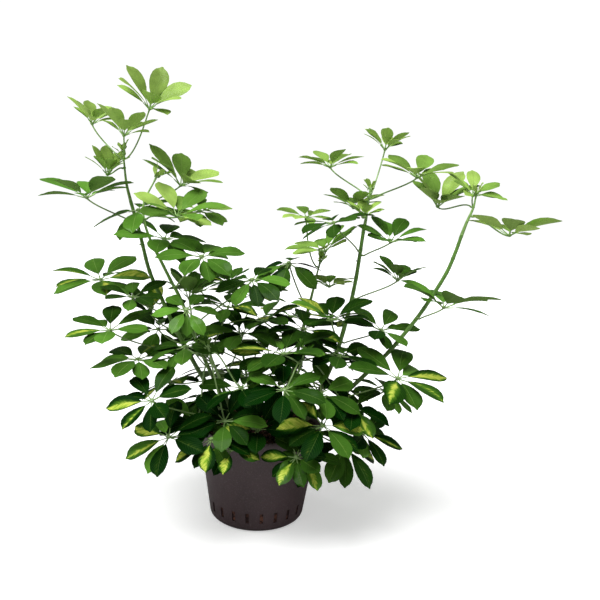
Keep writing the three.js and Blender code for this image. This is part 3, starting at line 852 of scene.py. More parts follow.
def blade_blank():
    """One leaflet on a unit scale: x runs across it, y along it and z is its thickness."""
    bm = bmesh.new()
    kinds = bm.faces.layers.int.new("kind")
    rows = len(BLADE_ROWS) - 1
    bmesh.ops.create_grid(bm, x_segments=BLADE_COLUMNS, y_segments=rows, size=1)
    for face in bm.faces:
        face[kinds] = UPPER
    under = bmesh.ops.duplicate(bm, geom=bm.verts[:] + bm.edges[:] + bm.faces[:])["geom"]
    under_faces = [item for item in under if isinstance(item, bmesh.types.BMFace)]
    under_verts = [item for item in under if isinstance(item, bmesh.types.BMVert)]
    bmesh.ops.reverse_faces(bm, faces=under_faces)
    for face in under_faces:
        face[kinds] = UNDER
    inside = [v for v in under_verts if max(abs(v.co.x), abs(v.co.y)) < 0.99]
    bmesh.ops.translate(bm, verts=inside, vec=(0, 0, -1))
    bmesh.ops.remove_doubles(bm, verts=bm.verts, dist=0.001)
    for vert in bm.verts:
        vert.co.y = (vert.co.y + 1) / 2
    return bm


def stalk_blank():
    """The leaflet's own short stalk, from y = -1 at the hub to y = 0 at the blade."""
    bm = bmesh.new()
    kinds = bm.faces.layers.int.new("kind")
    lying = Matrix.Translation((0, -0.5, 0)) @ Matrix.Rotation(math.radians(-90), 4, "X")
    low, high = SHORT_STALK_RADII
    bmesh.ops.create_cone(
        bm, cap_ends=True, segments=4, radius1=low, radius2=high, depth=1.0, matrix=lying
    )
    for face in bm.faces:
        face[kinds] = STALK
    return bm


def as_mesh(bm, name):
    mesh = bpy.data.meshes.new(name)
    bm.to_mesh(mesh)
    bm.free()
    return mesh


BLADE = as_mesh(blade_blank(), "blade blank")
SHORT_STALK = as_mesh(stalk_blank(), "short stalk blank")
print("faces of a leaflet:", len(BLADE.polygons) + len(SHORT_STALK.polygons))

# %% [markdown]
# A leaflet arches over from its foot to its tip. Modifiers could bend it, but there are
# hundreds. So each point of the blank is carried to a point on the leaflet's arched midrib,
# then sideways by the width of the blade there. The blade is folded a little along its midrib,
# its edges roll back and wave, and each of these comes from the leaflet's own draws, so no two
# are alike.

# %% Press a leaflet into place
HUB_RADIUS = 5
LEAFLET_ARCH = math.radians(28)
SHORTEST, LENGTH_SPREAD = 0.93, 0.14
LIFT_SPREAD = 12
TWIST_SPREAD = 24
LEAST_FOLD, FOLD_SPREAD = 0.16, 0.24
EDGE_ROLL = 0.16
WAVE_HEIGHT, WAVE_TURNS = 1.6, 9
SWAY_SPREAD = 0.05
BLADE_SINKS, SHORT_STALK_SINKS = 0.6, 0.8


def leaf_frame(tilt, side):
    """The frame of a leaf: its face, and two directions across it."""
    t, a = math.radians(tilt), math.radians(side)
    up = Vector((math.sin(t) * math.cos(a), math.sin(t) * math.sin(a), math.cos(t)))
    first = Vector((math.cos(t) * math.cos(a), math.cos(t) * math.sin(a), -math.sin(t)))
    return up, first, up.cross(first)


def leaflet_line(hub, axes, rise, turn, length, draw):
    """The arched midrib of a leaflet and the direction across it.

    The midrib is a function that gives the point and the upward direction at a share of it.
    """
    up, first, second = axes
    reach = length * (SHORTEST + LENGTH_SPREAD * draw()) - HUB_RADIUS
    lift = math.radians(rise + LIFT_SPREAD * (draw() - 0.5))
    twist = math.radians(TWIST_SPREAD * (draw() - 0.5))
    out = first * math.cos(turn) + second * math.sin(turn)
    chord = out * math.cos(lift) + up * math.sin(lift)
    across = Quaternion(chord, twist) @ up.cross(out)
    above = chord.cross(across)
    neck = hub + chord * HUB_RADIUS
    half = LEAFLET_ARCH / 2

    def place(s):
        bent = half - LEAFLET_ARCH * s
        ahead = reach * (math.sin(half) - math.sin(bent)) / LEAFLET_ARCH
        raised = reach * (math.cos(bent) - math.cos(half)) / LEAFLET_ARCH
        normal = above * math.cos(bent) - chord * math.sin(bent)
        return neck + chord * ahead + above * raised, normal

    return place, across


def width_at(b):
    """Half the width of the blade at a share of its length, 1 where it is widest."""
    for (b0, w0), (b1, w1) in zip(BLADE_ROWS, BLADE_ROWS[1:]):
        if b <= b1 + 1e-6:
            return w0 + (w1 - w0) * (b - b0) / (b1 - b0)
    return BLADE_ROWS[-1][1]


def press_blade(verts, place, across, length, draw):
    """Carries the points of a blade blank to the leaflet's midrib."""
    fold = LEAST_FOLD + FOLD_SPREAD * draw()
    wave, phase = WAVE_HEIGHT * draw(), math.tau * draw()
    sway = SWAY_SPREAD * (draw() - 0.5) * length
    rows = len(BLADE_ROWS) - 1
    for vert in verts:
        u, z = vert.co.x, vert.co.z
        b = BLADE_ROWS[round(vert.co.y * rows)][0]
        half = length * LEAFLET_WIDTH * width_at(b)
        bowed = b - TIP_BOW * b**3 * u * u
        point, normal = place(LEAFLET_STALK + (1 - LEAFLET_STALK) * bowed)
        rolled = fold * abs(u) - EDGE_ROLL * abs(u) ** 3
        waving = wave * abs(u) * b * math.sin(phase + WAVE_TURNS * b + u)
        lifted = half * rolled + waving
        vert.co = (
            point
            + across * (u * half + sway * math.sin(math.pi * b))
            + normal * (lifted + z * BLADE_THICKNESS - BLADE_SINKS)
        )


def press_short_stalk(verts, place, across):
    """Carries the short stalk to the midrib's foot. Its lower end runs into the hub."""
    for vert in verts:
        share = vert.co.y + 1
        point, normal = place(LEAFLET_STALK * (share * 1.12 - 0.12))
        vert.co = point + across * vert.co.x + normal * (vert.co.z - SHORT_STALK_SINKS)


# %% [markdown]
# A leaf's long stalk leaves the cane at a sheath, swings out and up, and meets the hub from
# below. It could be drawn point by point like a cane, but a curve with two handles gives that
# line from its two ends alone. The stalks sink a little into the cane here, where the CAD
# solids must keep a hair's gap.

# %% The long stalk
LOWEST_STALK = 205
STALK_SPACING = 8
STALK_RADIUS = 1.5
SHEATH_RADIUS = 2.6
SHEATH_LENGTH = 6
SHOOT_TIP_RADIUS = 1.6
STALK_POINTS = 12
STALK_SLOPE = 0.5
END_MARGIN = 4
SUNK_IN_CANE = 1.5
BELOW_HUB = 2
HUB_HANDLE = 0.25
CANE_HANDLE, CANE_HANDLE_RISE = 0.2, 0.15


def stalk_line(start, along, radius, hub, up):
    """Points of a leaf's long stalk, from the underside of its hub down into its cane."""
    out = hub - start
    out = (out - along * out.dot(along)).normalized()
    foot = start + out * radius
    bend = foot + out * SHEATH_LENGTH
    span = (hub - bend).length
    arrive = ((hub - bend).normalized() * 1.6 + up).normalized() * (HUB_HANDLE * span)
    a = hub - up * BELOW_HUB
    b = hub - arrive
    c = bend + out * (CANE_HANDLE * span) + Vector((0, 0, CANE_HANDLE_RISE * span))
    points = []
    for number in range(STALK_POINTS):
        t = number / (STALK_POINTS - 1)
        near_hub = a * (1 - t) ** 3 + b * (3 * t * (1 - t) ** 2)
        points.append(near_hub + c * (3 * t * t * (1 - t)) + bend * t**3)
    return [*points, foot - out * SUNK_IN_CANE]


def stalk_of(row, index):
    """The line of one leaf's long stalk, from its row."""
    node, cane_name, x, y, z, tilt, side = row[:7]
    cane = CANES[cane_name]
    foot_radius, tip_radius = cane["radii"]
    on_shoot = node.startswith("shoot")
    line = cane["shoot"] if on_shoot else cane["line"]
    radii = (tip_radius, SHOOT_TIP_RADIUS) if on_shoot else (foot_radius, tip_radius)
    spread = math.hypot(x - line[-1][0], y - line[-1][1])
    lowest = line[0][2] + END_MARGIN if on_shoot else LOWEST_STALK
    lowest += STALK_SPACING * (index % 5)
    height = min(max(z - STALK_SLOPE * spread, lowest), line[-1][2] - END_MARGIN)
    start, along, radius = cane_at(line, radii, height)
    up = leaf_frame(tilt, side)[0]
    return stalk_line(start, along, 0 if on_shoot else radius, Vector((x, y, z)), up)


# %% [markdown]
# A real umbrella carries seven to nine leaflets, and some of them lie a little lower than the
# rest. The CAD leaf keeps the five or six main ones. Nine main ones would leave the CAD leaf's
# shape, so a lower layer is added here, in gaps between the main leaflets, a little shorter
# and hanging a little more. One that would grow through a cane is left out, which is tested
# against points along all canes.

# %% The lower layer of leaflets
from mathutils.kdtree import KDTree

LEAFLETS = 9
LOWER_LENGTH = 0.86
LOWER_DROP = 13
CLEAR_OF_CANES = 7
TESTED_ALONG = (0.3, 0.45, 0.6, 0.75, 0.9, 1)
TESTED_ACROSS = (-0.17, 0, 0.17)


def points_on_canes():
    """A tree of points along all canes and shoots, to find the nearest one quickly."""
    points = []
    for cane in CANES.values():
        points += smooth_line([Vector(p) for p in cane["line"] + cane["shoot"]], 5)
    tree = KDTree(len(points))
    for number, point in enumerate(points):
        tree.insert(point, number)
    tree.balance()
    return tree


CANE_POINTS = points_on_canes()


def clears_canes(place, across, length):
    """Whether a leaflet stays away from all canes."""
    for s in TESTED_ALONG:
        for u in TESTED_ACROSS:
            if CANE_POINTS.find(place(s)[0] + across * u * length)[2] < CLEAR_OF_CANES:
                return False
    return True


def lower_gaps(count, look):
    """The gaps between main leaflets that get a lower one, spread evenly round the hub."""
    first, lower = int(look() * count), LEAFLETS - count
    return [(first + round(count * step / lower)) % count for step in range(lower)]


print("leaflets of a leaf:", LEAFLETS, "less those that would touch a cane")

# %% [markdown]
# The colour of a leaf changes from leaflet to leaflet. A material for each would do it, but
# one is enough if each face remembers which leaflet it belongs to. Four numbers go into a
# colour attribute on the mesh, and the leaf's material reads them: the leaflet's own draw, its
# share of yellow, its lightness, which is its youth together with painted light and shade,
# and which side of the blade the face is on. A second map, the UV map, says where on the
# leaflet a point lies, across and along, so veins and patches follow its shape.

# %% What the faces of a leaf remember
OLDER = 0.12


class Foliage:
    """The mesh of one node of foliage, with what its faces must remember."""

    def __init__(self):
        self.bm = bmesh.new()
        self.kinds = self.bm.faces.layers.int.new("kind")
        self.marks = []
        self.places = []

    def remember(self, faces, mark):
        """Gives the same mark to some faces, and a place on the midrib."""
        self.marks += [mark] * len(faces)
        self.places += [[(0.5, 0.0)] * len(face.verts) for face in faces]

    def add_blank(self, blank):
        known = len(self.bm.verts), len(self.bm.faces)
        self.bm.from_mesh(blank)
        self.bm.verts.ensure_lookup_table()
        self.bm.faces.ensure_lookup_table()
        return self.bm.verts[known[0] :], self.bm.faces[known[1] :]

    def add_bar(self, points, radii, sides, mark):
        faces = draw_bar(self.bm, points, radii, sides)
        for face in faces:
            face[self.kinds] = STALK
        self.remember(faces, mark)

    def add_knob(self, foot, along, profile, sides, mark):
        """Adds a bar given by pairs of height above its foot and radius."""
        points = [foot + along * height for height, radius in profile]
        self.add_bar(points, [radius for height, radius in profile], sides, mark)


def draw_leaflet(foliage, place, across, length, light, yellow, draw):
    """Adds a leaflet, a little older than its leaf or younger, and sometimes much younger."""
    own = draw()
    light = min(1, max(0, light - OLDER + draw() ** 3))
    verts, faces = foliage.add_blank(BLADE)
    spots = {vert: (0.5 + 0.5 * vert.co.x, vert.co.y) for vert in verts}
    foliage.places += [[spots[vert] for vert in face.verts] for face in faces]
    for face in faces:
        upper = 1.0 if face[foliage.kinds] == UPPER else 0.0
        foliage.marks.append((own, yellow, light, upper))
    press_blade(verts, place, across, length, draw)
    verts, faces = foliage.add_blank(SHORT_STALK)
    foliage.remember(faces, (own, 0.0, light, 1.0))
    press_short_stalk(verts, place, across)


# the lightness that each face remembers is the leaf's youth together with painted light and
# shade
print("each face remembers: its leaflet's draw, its yellow, its youth and its side")

# %% [markdown]
# On the real plant only some leaflets carry a yellow patch, and they don't lie in one region.
# So the leaves at the front have theirs listed, and the others draw them by chance. The list
# goes by a leaf's place in LEAVES. It names the main leaflets that carry a patch, and how much
# of each is yellow.

# %% Which leaflets carry a patch
PATCHED = {
    31: {4: 0.5, 5: 0.35},
    32: {5: 0.55, 0: 0.15},
    33: {5: 0.3},
    34: {4: 0.5, 5: 0.35, 0: 0.3, 1: 0.5},
    36: {1: 0.75},
    37: {4: 0.4},
    39: {4: 0.5, 0: 0.6},
    40: {4: 0.7, 0: 0.6, 2: 0.75, 1: 0.45, 3: 0.6},
    41: {1: 0.75, 3: 0.45, 4: 0.75, 2: 0.2},
    42: {1: 0.5},
    43: {0: 0.2},
    44: {0: 0.5},
    45: {4: 0.5, 3: 0.55},
    46: {1: 0.6, 0: 0.1, 5: 0.35},
    53: {4: 0.7, 5: 0.6},
    55: {5: 0.6},
    68: {4: 0.7},
}
UNLISTED_PATCH = 0.04
PATCH_ODDS = 1.3
LEAST_PATCH, PATCH_SPREAD = 0.35, 0.45


def yellow_share(index, number, yellow, look):
    """How much of a leaflet is yellow: few are much so, the others hardly or not at all."""
    strength, chance = look(), look()
    if index in PATCHED:
        return PATCHED[index].get(number, UNLISTED_PATCH)
    if chance < PATCH_ODDS * yellow:
        return LEAST_PATCH + PATCH_SPREAD * strength
    return 0.8 * yellow * strength


print("leaves with listed patches:", len(PATCHED))

# %% [markdown]
# A leaf is now put together: its main leaflets, the lower ones, its stalk, and the knuckle
# that they all share. Two rows of draws keep shape and look apart, so that a change of one
# doesn't stir up the other.

# %% One umbrella leaf
SHAPE_SEED = 1000
LOOK_SEED = 7000
TURN_SPREAD = 8
LOWER_TURN_SPREAD = 10
KNUCKLE = [(-4, 1.8), (-1.5, 4.2), (1, 4.2), (2.2, 1.6)]


def draw_leaf(foliage, row, index):
    """Adds the leaf of one row of the table."""
    node, cane_name, x, y, z, tilt, side, rise, count, spin, length, light, yellow = row
    hub = Vector((x, y, z))
    axes = leaf_frame(tilt, side)
    draw = draws_from(SHAPE_SEED + 37 * index)
    look = draws_from(LOOK_SEED + 91 * index)
    for number in range(count):
        turn = math.radians(spin + 360 * number / count + TURN_SPREAD * (draw() - 0.5))
        place, across = leaflet_line(hub, axes, rise, turn, length, draw)
        share = yellow_share(index, number, yellow, look)
        draw_leaflet(foliage, place, across, length, light, share, look)
    lower = length * LOWER_LENGTH
    for gap in lower_gaps(count, look):
        middle = spin + 360 * (gap + 0.5) / count
        turn = math.radians(middle + LOWER_TURN_SPREAD * (look() - 0.5))
        place, across = leaflet_line(hub, axes, rise - LOWER_DROP, turn, lower, look)
        if clears_canes(place, across, lower):
            share = yellow_share(index, None, yellow, look)
            draw_leaflet(foliage, place, across, lower, light, share, look)
    points = stalk_of(row, index)
    radii = [STALK_RADIUS] * len(points)
    radii[0] += 0.5
    radii[-2:] = [STALK_RADIUS + 0.3, SHEATH_RADIUS]
    foliage.add_bar(points, radii, 6, (look(), 0.0, light, 1.0))
    foliage.add_knob(hub, axes[0], KNUCKLE, 8, (look(), 0.0, light, 1.0))


print("one leaf: up to", LEAFLETS, "leaflets, a stalk and a knuckle")

# %% [markdown]
# At the very tip of each shoot stands a tuft of leaves that are still unfolding: a few small
# leaflets, almost upright, round a pointed bud. A shape of their own would hardly be seen at
# this size, so they are pressed from the same blank, only shorter and steeper.

# %% The tip of a shoot
BUD = [(-2, 1.7), (6, 2.2), (14, 0.5)]
TUFT_LEAFLETS = 7
TUFT_YOUTH = 0.25


def draw_tuft(foliage, tip, along, light, seed):
    """Adds the bud at the tip of a shoot and the small leaflets round it."""
    draw = draws_from(seed)
    side = along.orthogonal().normalized()
    axes = (along, side, along.cross(side))
    foliage.add_knob(tip, along, BUD, 6, (0.5, 0, light, 1))
    for number in range(TUFT_LEAFLETS):
        length = 16 + 20 * draw()
        turn = GOLDEN_TURN * number
        start = tip + along * (1 + 6 * draw())
        place, across = leaflet_line(start, axes, 40 + 35 * draw(), turn, length, draw)
        lightness = min(1, light + TUFT_YOUTH)
        draw_leaflet(foliage, place, across, length, lightness, 0.0, draw)


def draw_shoot_stem(foliage, cane, light, seed):
    """The soft stem that goes on from the tip of a cane, with its tuft."""
    top, below = Vector(cane["line"][-1]), Vector(cane["line"][-2])
    toward = (top - below).normalized()
    line = smooth_line([top - toward, *[Vector(p) for p in cane["shoot"]]], 8)
    start, last = cane["radii"][1], len(line) - 1
    radii = [start + (SHOOT_TIP_RADIUS - start) * k / last for k in range(len(line))]
    foliage.add_bar(line, radii, 8, (0.5, 0.0, light, 1.0))
    draw_tuft(foliage, line[-1], (line[-1] - line[-2]).normalized(), light, seed)


print("leaflets at the tip of a shoot:", TUFT_LEAFLETS)

# %% [markdown]
# ## What a leaf looks like
# A painted picture of a leaf would repeat itself on hundreds of leaflets. Instead its marks
# are calculated in the leaflet's own map. The midrib is a pale line that narrows to the tip.
# The side veins are stripes: the sine of the way along the leaflet, which is slanted toward
# the edge and swings a little, as real veins bend forward.

# %% The midrib and the side veins
RIB_AT_FOOT, RIB_NARROWS = 0.022, -0.014
VEIN_SLANT = -0.55
VEIN_SWING, SWING_TURNS = 0.02, 9.0
VEIN_TURNS = 75.0


def midrib_and_veins(group, along, aside, strength):
    """Masks of the midrib and the veins, and the way along, slanted as the veins are."""
    rib_width = math_node(group, "MULTIPLY_ADD", along, RIB_NARROWS, RIB_AT_FOOT)
    rib_share = math_node(group, "DIVIDE", aside, rib_width)
    midrib = math_node(group, "SUBTRACT", 1.0, ramp(group, rib_share, 0.4, 1.2))
    slanted = math_node(group, "MULTIPLY_ADD", aside, VEIN_SLANT, along)
    swing = math_node(group, "SINE", math_node(group, "MULTIPLY", aside, SWING_TURNS))
    wavy = math_node(group, "MULTIPLY_ADD", swing, VEIN_SWING, slanted)
    stripes = math_node(group, "SINE", math_node(group, "MULTIPLY", wavy, VEIN_TURNS))
    veins = math_node(group, "MULTIPLY", ramp(group, stripes, 0.86, 1.0), strength)
    return midrib, veins, slanted


print("side veins of a leaflet:", round(VEIN_TURNS / math.tau), "on each side")

# %% [markdown]
# A yellow patch starts at the midrib and runs out along the side veins, so its edge is
# feathered. A blob of noise would have no such direction. So the patch is a mask of "distance
# from the midrib, less some noise that is stretched along the veins", cut off at the leaflet's
# own share of yellow. The same noise gives the streaks of green that stay inside a patch.

# %% The yellow patch
NOISE_ACROSS, NOISE_ALONG = 1.4, 6.5
OFF_CENTRE = 0.36
RAGGED_EDGE = 0.8


def yellow_patch(group, along, off, slanted, own, yellow):
    """Masks of the patch, of the halo round it and of the green streaks in it."""
    shift = math_node(group, "MULTIPLY", own, 40.0)
    across = math_node(group, "MULTIPLY_ADD", off, NOISE_ACROSS, shift)
    stretched = math_node(group, "MULTIPLY", slanted, NOISE_ALONG)
    where = add(group, "ShaderNodeCombineXYZ", X=across, Y=stretched).outputs[0]
    grain = {"Scale": 1.6, "Detail": 4.0, "Roughness": 0.62}
    feather = add(group, "ShaderNodeTexNoise", Vector=where, **grain).outputs["Fac"]
    leaning = math_node(group, "SUBTRACT", own, 0.5)
    middle = math_node(group, "MULTIPLY_ADD", leaning, OFF_CENTRE, off)
    distance = math_node(group, "MULTIPLY", math_node(group, "ABSOLUTE", middle), 2.0)
    ragged = math_node(group, "SUBTRACT", feather, 0.5)
    rough_distance = math_node(group, "MULTIPLY_ADD", ragged, RAGGED_EDGE, distance)
    swell = math_node(group, "SINE", math_node(group, "MULTIPLY", along, math.pi))
    wide = math_node(group, "MULTIPLY_ADD", swell, 0.7, 0.25)
    reach = math_node(group, "MULTIPLY", wide, yellow)
    left_over = math_node(group, "SUBTRACT", reach, rough_distance)
    some = ramp(group, yellow, 0.02, 0.12)
    patch = math_node(group, "MULTIPLY", ramp(group, left_over, -0.04, 0.25), some)
    halo = math_node(group, "MULTIPLY", ramp(group, left_over, -0.4, 0.05), some)
    return patch, halo, ramp(group, feather, 0.36, 0.68)


# %% [markdown]
# Two kinds of blade and two kinds of stalk need these masks, so they go into one group. It
# reads what the faces remember and puts out values only: the masks, the leaflet's own numbers,
# and a height for the bump, in which midrib and veins are sunk.

# %% A group for the marks on a leaflet
MARKS = ["Midrib", "Veins", "Patch", "Halo", "Streaks", "Own", "Youth", "Upper", "Height"]
VEIN_STRENGTH = 0.86


def leaflet_marks_group():
    group, inputs, outputs = new_group(
        "leaflet marks",
        [("Vein Strength", "NodeSocketFloat", VEIN_STRENGTH)],
        [(label, "NodeSocketFloat") for label in MARKS],
    )
    spot = add(group, "ShaderNodeUVMap", {"uv_map": "leaflet"}).outputs["UV"]
    parts = add(group, "ShaderNodeSeparateXYZ", Vector=spot)
    mark = add(group, "ShaderNodeAttribute", {"attribute_name": "marks"})
    numbers = add(group, "ShaderNodeSeparateColor", Color=mark.outputs["Color"])
    own, yellow, lightness = numbers.outputs

    along = parts.outputs["Y"]
    off = math_node(group, "SUBTRACT", parts.outputs["X"], 0.5)
    aside = math_node(group, "ABSOLUTE", off)
    strength = inputs.outputs["Vein Strength"]
    midrib, veins, slanted = midrib_and_veins(group, along, aside, strength)
    masks = yellow_patch(group, along, off, slanted, own, yellow)
    sunk = math_node(group, "MULTIPLY", midrib, -1.0)
    height = math_node(group, "MULTIPLY_ADD", veins, -0.35, sunk)
    drawn = (midrib, veins, *masks, own, lightness, mark.outputs["Alpha"], height)
    for label, socket in zip(MARKS, drawn):
        group.links.new(socket, outputs.inputs[label])
    return group


LEAFLET_MARKS = leaflet_marks_group()
print("marks of a leaflet:", ", ".join(MARKS))

# %% [markdown]
# The colour of a blade: deep green above, paler and dull below, and on the lighter leaves
# paler still below as painted light that shines through the thin blade. A young leaf is
# lighter and yellower. The same lightness also holds painted shade on leaves deep in the
# foliage and painted light on shaded ones, so its green is mixed by the lightness that its
# faces remember. One colour for each leaf would be simpler, but here the marks lie over one
# another in layers, as glazes do: the veins, the halo of a patch, the patch, and the midrib
# on top.

# %% The colour of a blade
SHADE_GREEN = (0.0, 0.012, 0.0)
VEIN_GREEN = (0.12, 0.3, 0.05)
HALO_GREEN = (0.07, 0.19, 0.012)
PATCH_YELLOW = (0.53, 0.59, 0.09)
STREAK_GREEN = (0.16, 0.32, 0.015)
MIDRIB_GREEN = (0.26, 0.42, 0.1)


def blade_colour(tree, marks, dark, light, under):
    """The colour of a blade, from its marks and from that of old and of young leaves."""
    lightness = marks["Youth"]
    uneven = place_group(tree, UNEVEN, Cloud_Scale=30.0)
    # painted shade and light: the lightness mixes dark to light green, for the leaf's youth and
    # also as painted shade and painted light
    green = mix_colour(tree, lightness, dark, light)
    clouds = math_node(tree, "MULTIPLY", ramp(tree, uneven["Clouds"], 0.25, 0.75), 0.3)
    tone = math_node(tree, "MULTIPLY_ADD", marks["Own"], 0.4, clouds)
    green = mix_colour(tree, tone, green, SHADE_GREEN)
    veined = mix_part(tree, marks["Veins"], 0.12, green, VEIN_GREEN)
    haloed = mix_part(tree, marks["Halo"], 0.65, veined, HALO_GREEN)
    yellow = mix_colour(tree, marks["Streaks"], PATCH_YELLOW, STREAK_GREEN)
    patched = mix_colour(tree, marks["Patch"], haloed, yellow)
    clear = math_node(tree, "MULTIPLY_ADD", lightness, 0.4, 0.16)
    rib = math_node(tree, "MULTIPLY", marks["Midrib"], clear)
    ribbed = mix_colour(tree, rib, patched, MIDRIB_GREEN)
    # painted light: the underside is paler than the top, as on the real leaf, and paler still
    # with the lightness, as painted light that shines through a thin blade
    paler = math_node(tree, "MULTIPLY_ADD", lightness, 0.35, 0.25)
    below = mix_colour(tree, paler, ribbed, under)
    return mix_colour(tree, marks["Upper"], below, ribbed)


# %% [markdown]
# The gloss of a leaf comes from wax, so it is a coat over a rougher base and not a smoother
# base. Old leaves are matt, so the coat grows with the lightness that the faces remember,
# which also makes it fade on the leaves painted darker as shade. Light that passes through a
# blade could be added, but it makes thin bright leaves grainy, so their colours are lighter
# instead: the pale undersides, more so on lighter leaves, are painted light that shines
# through.
# Grown and young leaves have a slot each. Both get the same network with their own colours
# and gloss. The stalks share their leaf's slot, with a plainer finish.

# %% The leaf materials
UNDERSIDE_ROUGHNESS = 0.6
STALK_SHADE = (0.07, 0.14, 0.03)


def leaf_blade(name, dark, light, under, roughness, coat):
    """The material of a blade. The coat is that of its lightest leaves."""
    material, tree, shader = new_material(name)
    marks = place_group(tree, LEAFLET_MARKS)
    colour = blade_colour(tree, marks, dark, light, under)
    smoother = roughness - UNDERSIDE_ROUGHNESS
    dull = math_node(tree, "MULTIPLY_ADD", marks["Upper"], smoother, UNDERSIDE_ROUGHNESS)
    waxy = math_node(tree, "MULTIPLY", marks["Youth"], coat)
    gloss = math_node(tree, "MULTIPLY", marks["Upper"], waxy)
    feed(tree, shader, Base_Color=colour, Roughness=dull, Specular_IOR_Level=0.02)
    feed(tree, shader, Coat_Weight=gloss, Coat_Roughness=0.13)
    bump_surface(tree, shader, marks["Height"], strength=0.5, depth=0.0005)
    return material


# partly painted sheen: the stalks' pale grey-green is partly their own colour and partly a
# painted sheen for the whitish gloss along them
def leaf_stalk(name, dark, light):
    material, tree, shader = new_material(name)
    marks = place_group(tree, LEAFLET_MARKS)
    uneven = place_group(tree, UNEVEN, Cloud_Scale=80.0, Grain_Scale=900.0)
    green = mix_colour(tree, marks["Youth"], dark, light)
    clouds = ramp(tree, uneven["Clouds"], 0.3, 0.7)
    streaked = mix_part(tree, clouds, 0.4, green, STALK_SHADE)
    feed(tree, shader, Base_Color=streaked, Roughness=0.4)
    bump_surface(tree, shader, uneven["Grain"], strength=0.2, depth=0.0004)
    return material


GROWN = [
    leaf_blade(
        "grown leaf",
        dark=(0.0015, 0.022, 0.001),
        light=(0.13, 0.33, 0.035),
        under=(0.24, 0.4, 0.1),
        roughness=0.45,
        coat=0.192,
    ),
    leaf_stalk("grown stalk", dark=(0.2, 0.33, 0.1), light=(0.36, 0.54, 0.2)),
]
# painted light: the fresh leaves' very pale undersides stand in for light shining through their
# thin blades
FRESH = [
    leaf_blade(
        "fresh leaf",
        dark=(0.05, 0.21, 0.01),
        light=(0.48, 0.73, 0.15),
        under=(0.55, 0.8, 0.2),
        roughness=0.48,
        coat=0.112,
    ),
    leaf_stalk("fresh stalk", dark=(0.18, 0.36, 0.08), light=(0.32, 0.54, 0.15)),
]
print("leaf materials:", ", ".join(material.name for material in GROWN + FRESH))

# %% [markdown]
# Now the foliage goes together node by node. It could be one big mesh, but each piece has to
# take the place of its own CAD node. A leaf that stands alone is a piece of its own; the
# leaves of a shoot share one piece with its stem. What the faces remember is written to the
# mesh at the end, corner by corner, once the mesh has its final order.

# %% Build the foliage
YOUNG = ["shoot_left_tall", "shoot_left", "shoot_middle", "shoot_right", "shoot_back"]
YOUNG_STEM, GROWN_STEM = 0.75, 0.3
STEM_SEED = 9000


def write_memory(piece, foliage_marks, places):
    """Writes the marks and the leaflet map to the corners of a finished mesh."""
    mesh = piece.data
    marks = mesh.color_attributes.new("marks", "FLOAT_COLOR", "CORNER")
    spots = mesh.uv_layers.new(name="leaflet")
    for polygon, mark, spot in zip(mesh.polygons, foliage_marks, places):
        for corner, place in zip(polygon.loop_indices, spot):
            marks.data[corner].color = mark
            spots.data[corner].uv = place


def build_foliage(node):
    """Draws the leaves of one node, with the stem if it is a shoot. Gives the piece."""
    foliage = Foliage()
    young = node in YOUNG
    rows = [(index, row) for index, row in enumerate(LEAVES) if row[0] == node]
    if node.startswith("shoot_"):
        cane = CANES[node.removeprefix("shoot_")]
        seed = STEM_SEED + 13 * rows[0][0]
        draw_shoot_stem(foliage, cane, YOUNG_STEM if young else GROWN_STEM, seed)
    for index, row in rows:
        draw_leaf(foliage, row, index)
    for face in foliage.bm.faces:
        face.material_index = 1 if face[foliage.kinds] == STALK else 0
    name = node.replace("shoot", "young_shoot" if young else "low_shoot")
    name = name.replace("leaf_", "umbrella_leaf_")
    piece = finish_piece(foliage.bm, name, FRESH if young else GROWN, node, crease=60)
    write_memory(piece, foliage.marks, foliage.places)
    return piece


foliage_nodes = ["shoot_" + name for name in CANES]
foliage_nodes += [row[0] for row in LEAVES if row[0].startswith("leaf_")]
foliage_pieces = [build_foliage(node) for node in foliage_nodes]
face_count = sum(len(piece.data.polygons) for piece in foliage_pieces)
print("foliage pieces:", len(foliage_pieces), "with", face_count, "faces")

# %% [markdown]
# ## The studio
# The plant stands on a plain white floor, as a plant for sale is pictured. A floor with a
# curved back wall is the usual way, but a white world does the wall's work. To the camera the
# floor glows a little, so that it goes over into the world without a line.

# %% Floor
FLOOR_RADIUS = 9
FLOOR_GREY, SEEN_GREY = (0.4, 0.4, 0.4), (0.8, 0.8, 0.8)
FLOOR_GLOW = 0.45


def studio_floor():
    """A white floor that throws back less light than it seems to."""
    bm = bmesh.new()
    bmesh.ops.create_circle(bm, cap_ends=True, segments=64, radius=FLOOR_RADIUS)
    mesh = as_mesh(bm, "floor")
    floor = bpy.data.objects.new("floor", mesh)
    bpy.context.collection.objects.link(floor)
    material, tree, shader = new_material("white floor")
    seen = tree.nodes.new("ShaderNodeLightPath").outputs["Is Camera Ray"]
    white = mix_colour(tree, seen, FLOOR_GREY, SEEN_GREY)
    glow = math_node(tree, "MULTIPLY", seen, FLOOR_GLOW)
    feed(tree, shader, Base_Color=white, Roughness=1.0, Specular_IOR_Level=0.0)
    feed(tree, shader, Emission_Color=(1, 1, 1, 1), Emission_Strength=glow)
    mesh.materials.append(material)


studio_floor()
print("floor across:", 2 * FLOOR_RADIUS, "m")

# %% [markdown]
# The light is soft and comes from above, a little from the left and from in front, as from a
# big box over the table. A sun with a wide angle gives that more evenly than an area lamp. Two
# weak boxes at the sides draw a pale edge on both flanks of the pot, one in front lights the
# shaded leaves, and the white world fills the shadows.

# %% Light
SUN_POWER = 4.2
SUN_WIDTH = math.radians(50)
SIDE_BOX, FRONT_BOX = (0.5, 1.4), (1.2, 0.8)
WORLD_FILL, WORLD_SEEN = 0.15, 0.9


def aim(thing, place, target):
    """Puts a lamp in its place and turns it to a target."""
    thing.location = place
    thing.rotation_euler = (Vector(target) - Vector(place)).to_track_quat("-Z", "Y").to_euler()
    bpy.context.collection.objects.link(thing)


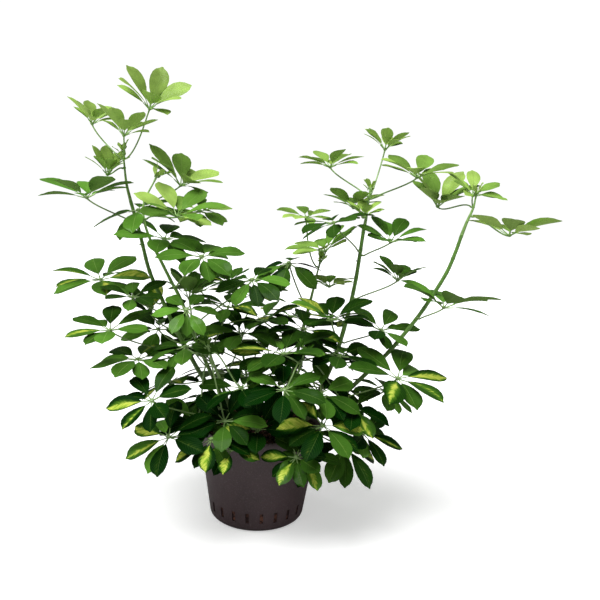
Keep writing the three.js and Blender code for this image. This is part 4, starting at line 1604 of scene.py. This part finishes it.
def softbox(name, place, target, size, power):
    lamp = bpy.data.lights.new(name, "AREA")
    lamp.shape = "RECTANGLE"
    lamp.size, lamp.size_y = size
    lamp.energy = power
    aim(bpy.data.objects.new(name, lamp), place, target)


daylight = bpy.data.lights.new("ceiling light", "SUN")
daylight.energy = SUN_POWER
daylight.angle = SUN_WIDTH
aim(bpy.data.objects.new("ceiling light", daylight), (-0.7, -0.9, 3.2), (0, 0, 0.4))
softbox("left box", (-1.6, -0.2, 0.7), (0, 0, 0.35), SIDE_BOX, power=6)
softbox("right box", (1.6, -0.2, 0.7), (0, 0, 0.35), SIDE_BOX, power=5)
softbox("front box", (0.2, -1.9, 0.5), (0, 0, 0.7), FRONT_BOX, power=2.5)


def studio_world():
    """A world that is white to the camera and only fills the shadows elsewhere."""
    world = bpy.data.worlds.new("white studio")
    world.use_nodes = True
    tree = world.node_tree
    seen = tree.nodes.new("ShaderNodeLightPath").outputs["Is Camera Ray"]
    strength = math_node(tree, "MULTIPLY_ADD", seen, WORLD_SEEN, WORLD_FILL)
    feed(tree, tree.nodes["Background"], Color=(1, 1, 1, 1), Strength=strength)
    bpy.context.scene.world = world


studio_world()
bpy.context.scene.view_settings.view_transform = "Standard"
print("lamps:", ", ".join(lamp.name for lamp in bpy.data.lights))

# %% [markdown]
# The camera stands where the photographer stood: at the height of the upper leaves, looking
# down by nine degrees, and held a little askew. It could be aimed at the plant by eye, but the
# measured place and turns, and a lens of 42 mm on a frame of 36 mm, give the perspective of
# the picture.

# %% Camera
CAMERA_PLACE = (0.070, -1.340, 0.660)
LOOKING_DOWN = math.radians(9.33)
HELD_ASKEW = math.radians(2.5)

lens = bpy.data.cameras.new("camera")
lens.lens = 42
lens.sensor_width = 36
camera = bpy.data.objects.new("camera", lens)
bpy.context.collection.objects.link(camera)
level = Matrix.Rotation(math.pi / 2 - LOOKING_DOWN, 4, "X")
askew = Matrix.Rotation(HELD_ASKEW, 4, "Z")
camera.matrix_world = Matrix.Translation(CAMERA_PLACE) @ level @ askew
bpy.context.scene.camera = camera
print("camera at:", CAMERA_PLACE)
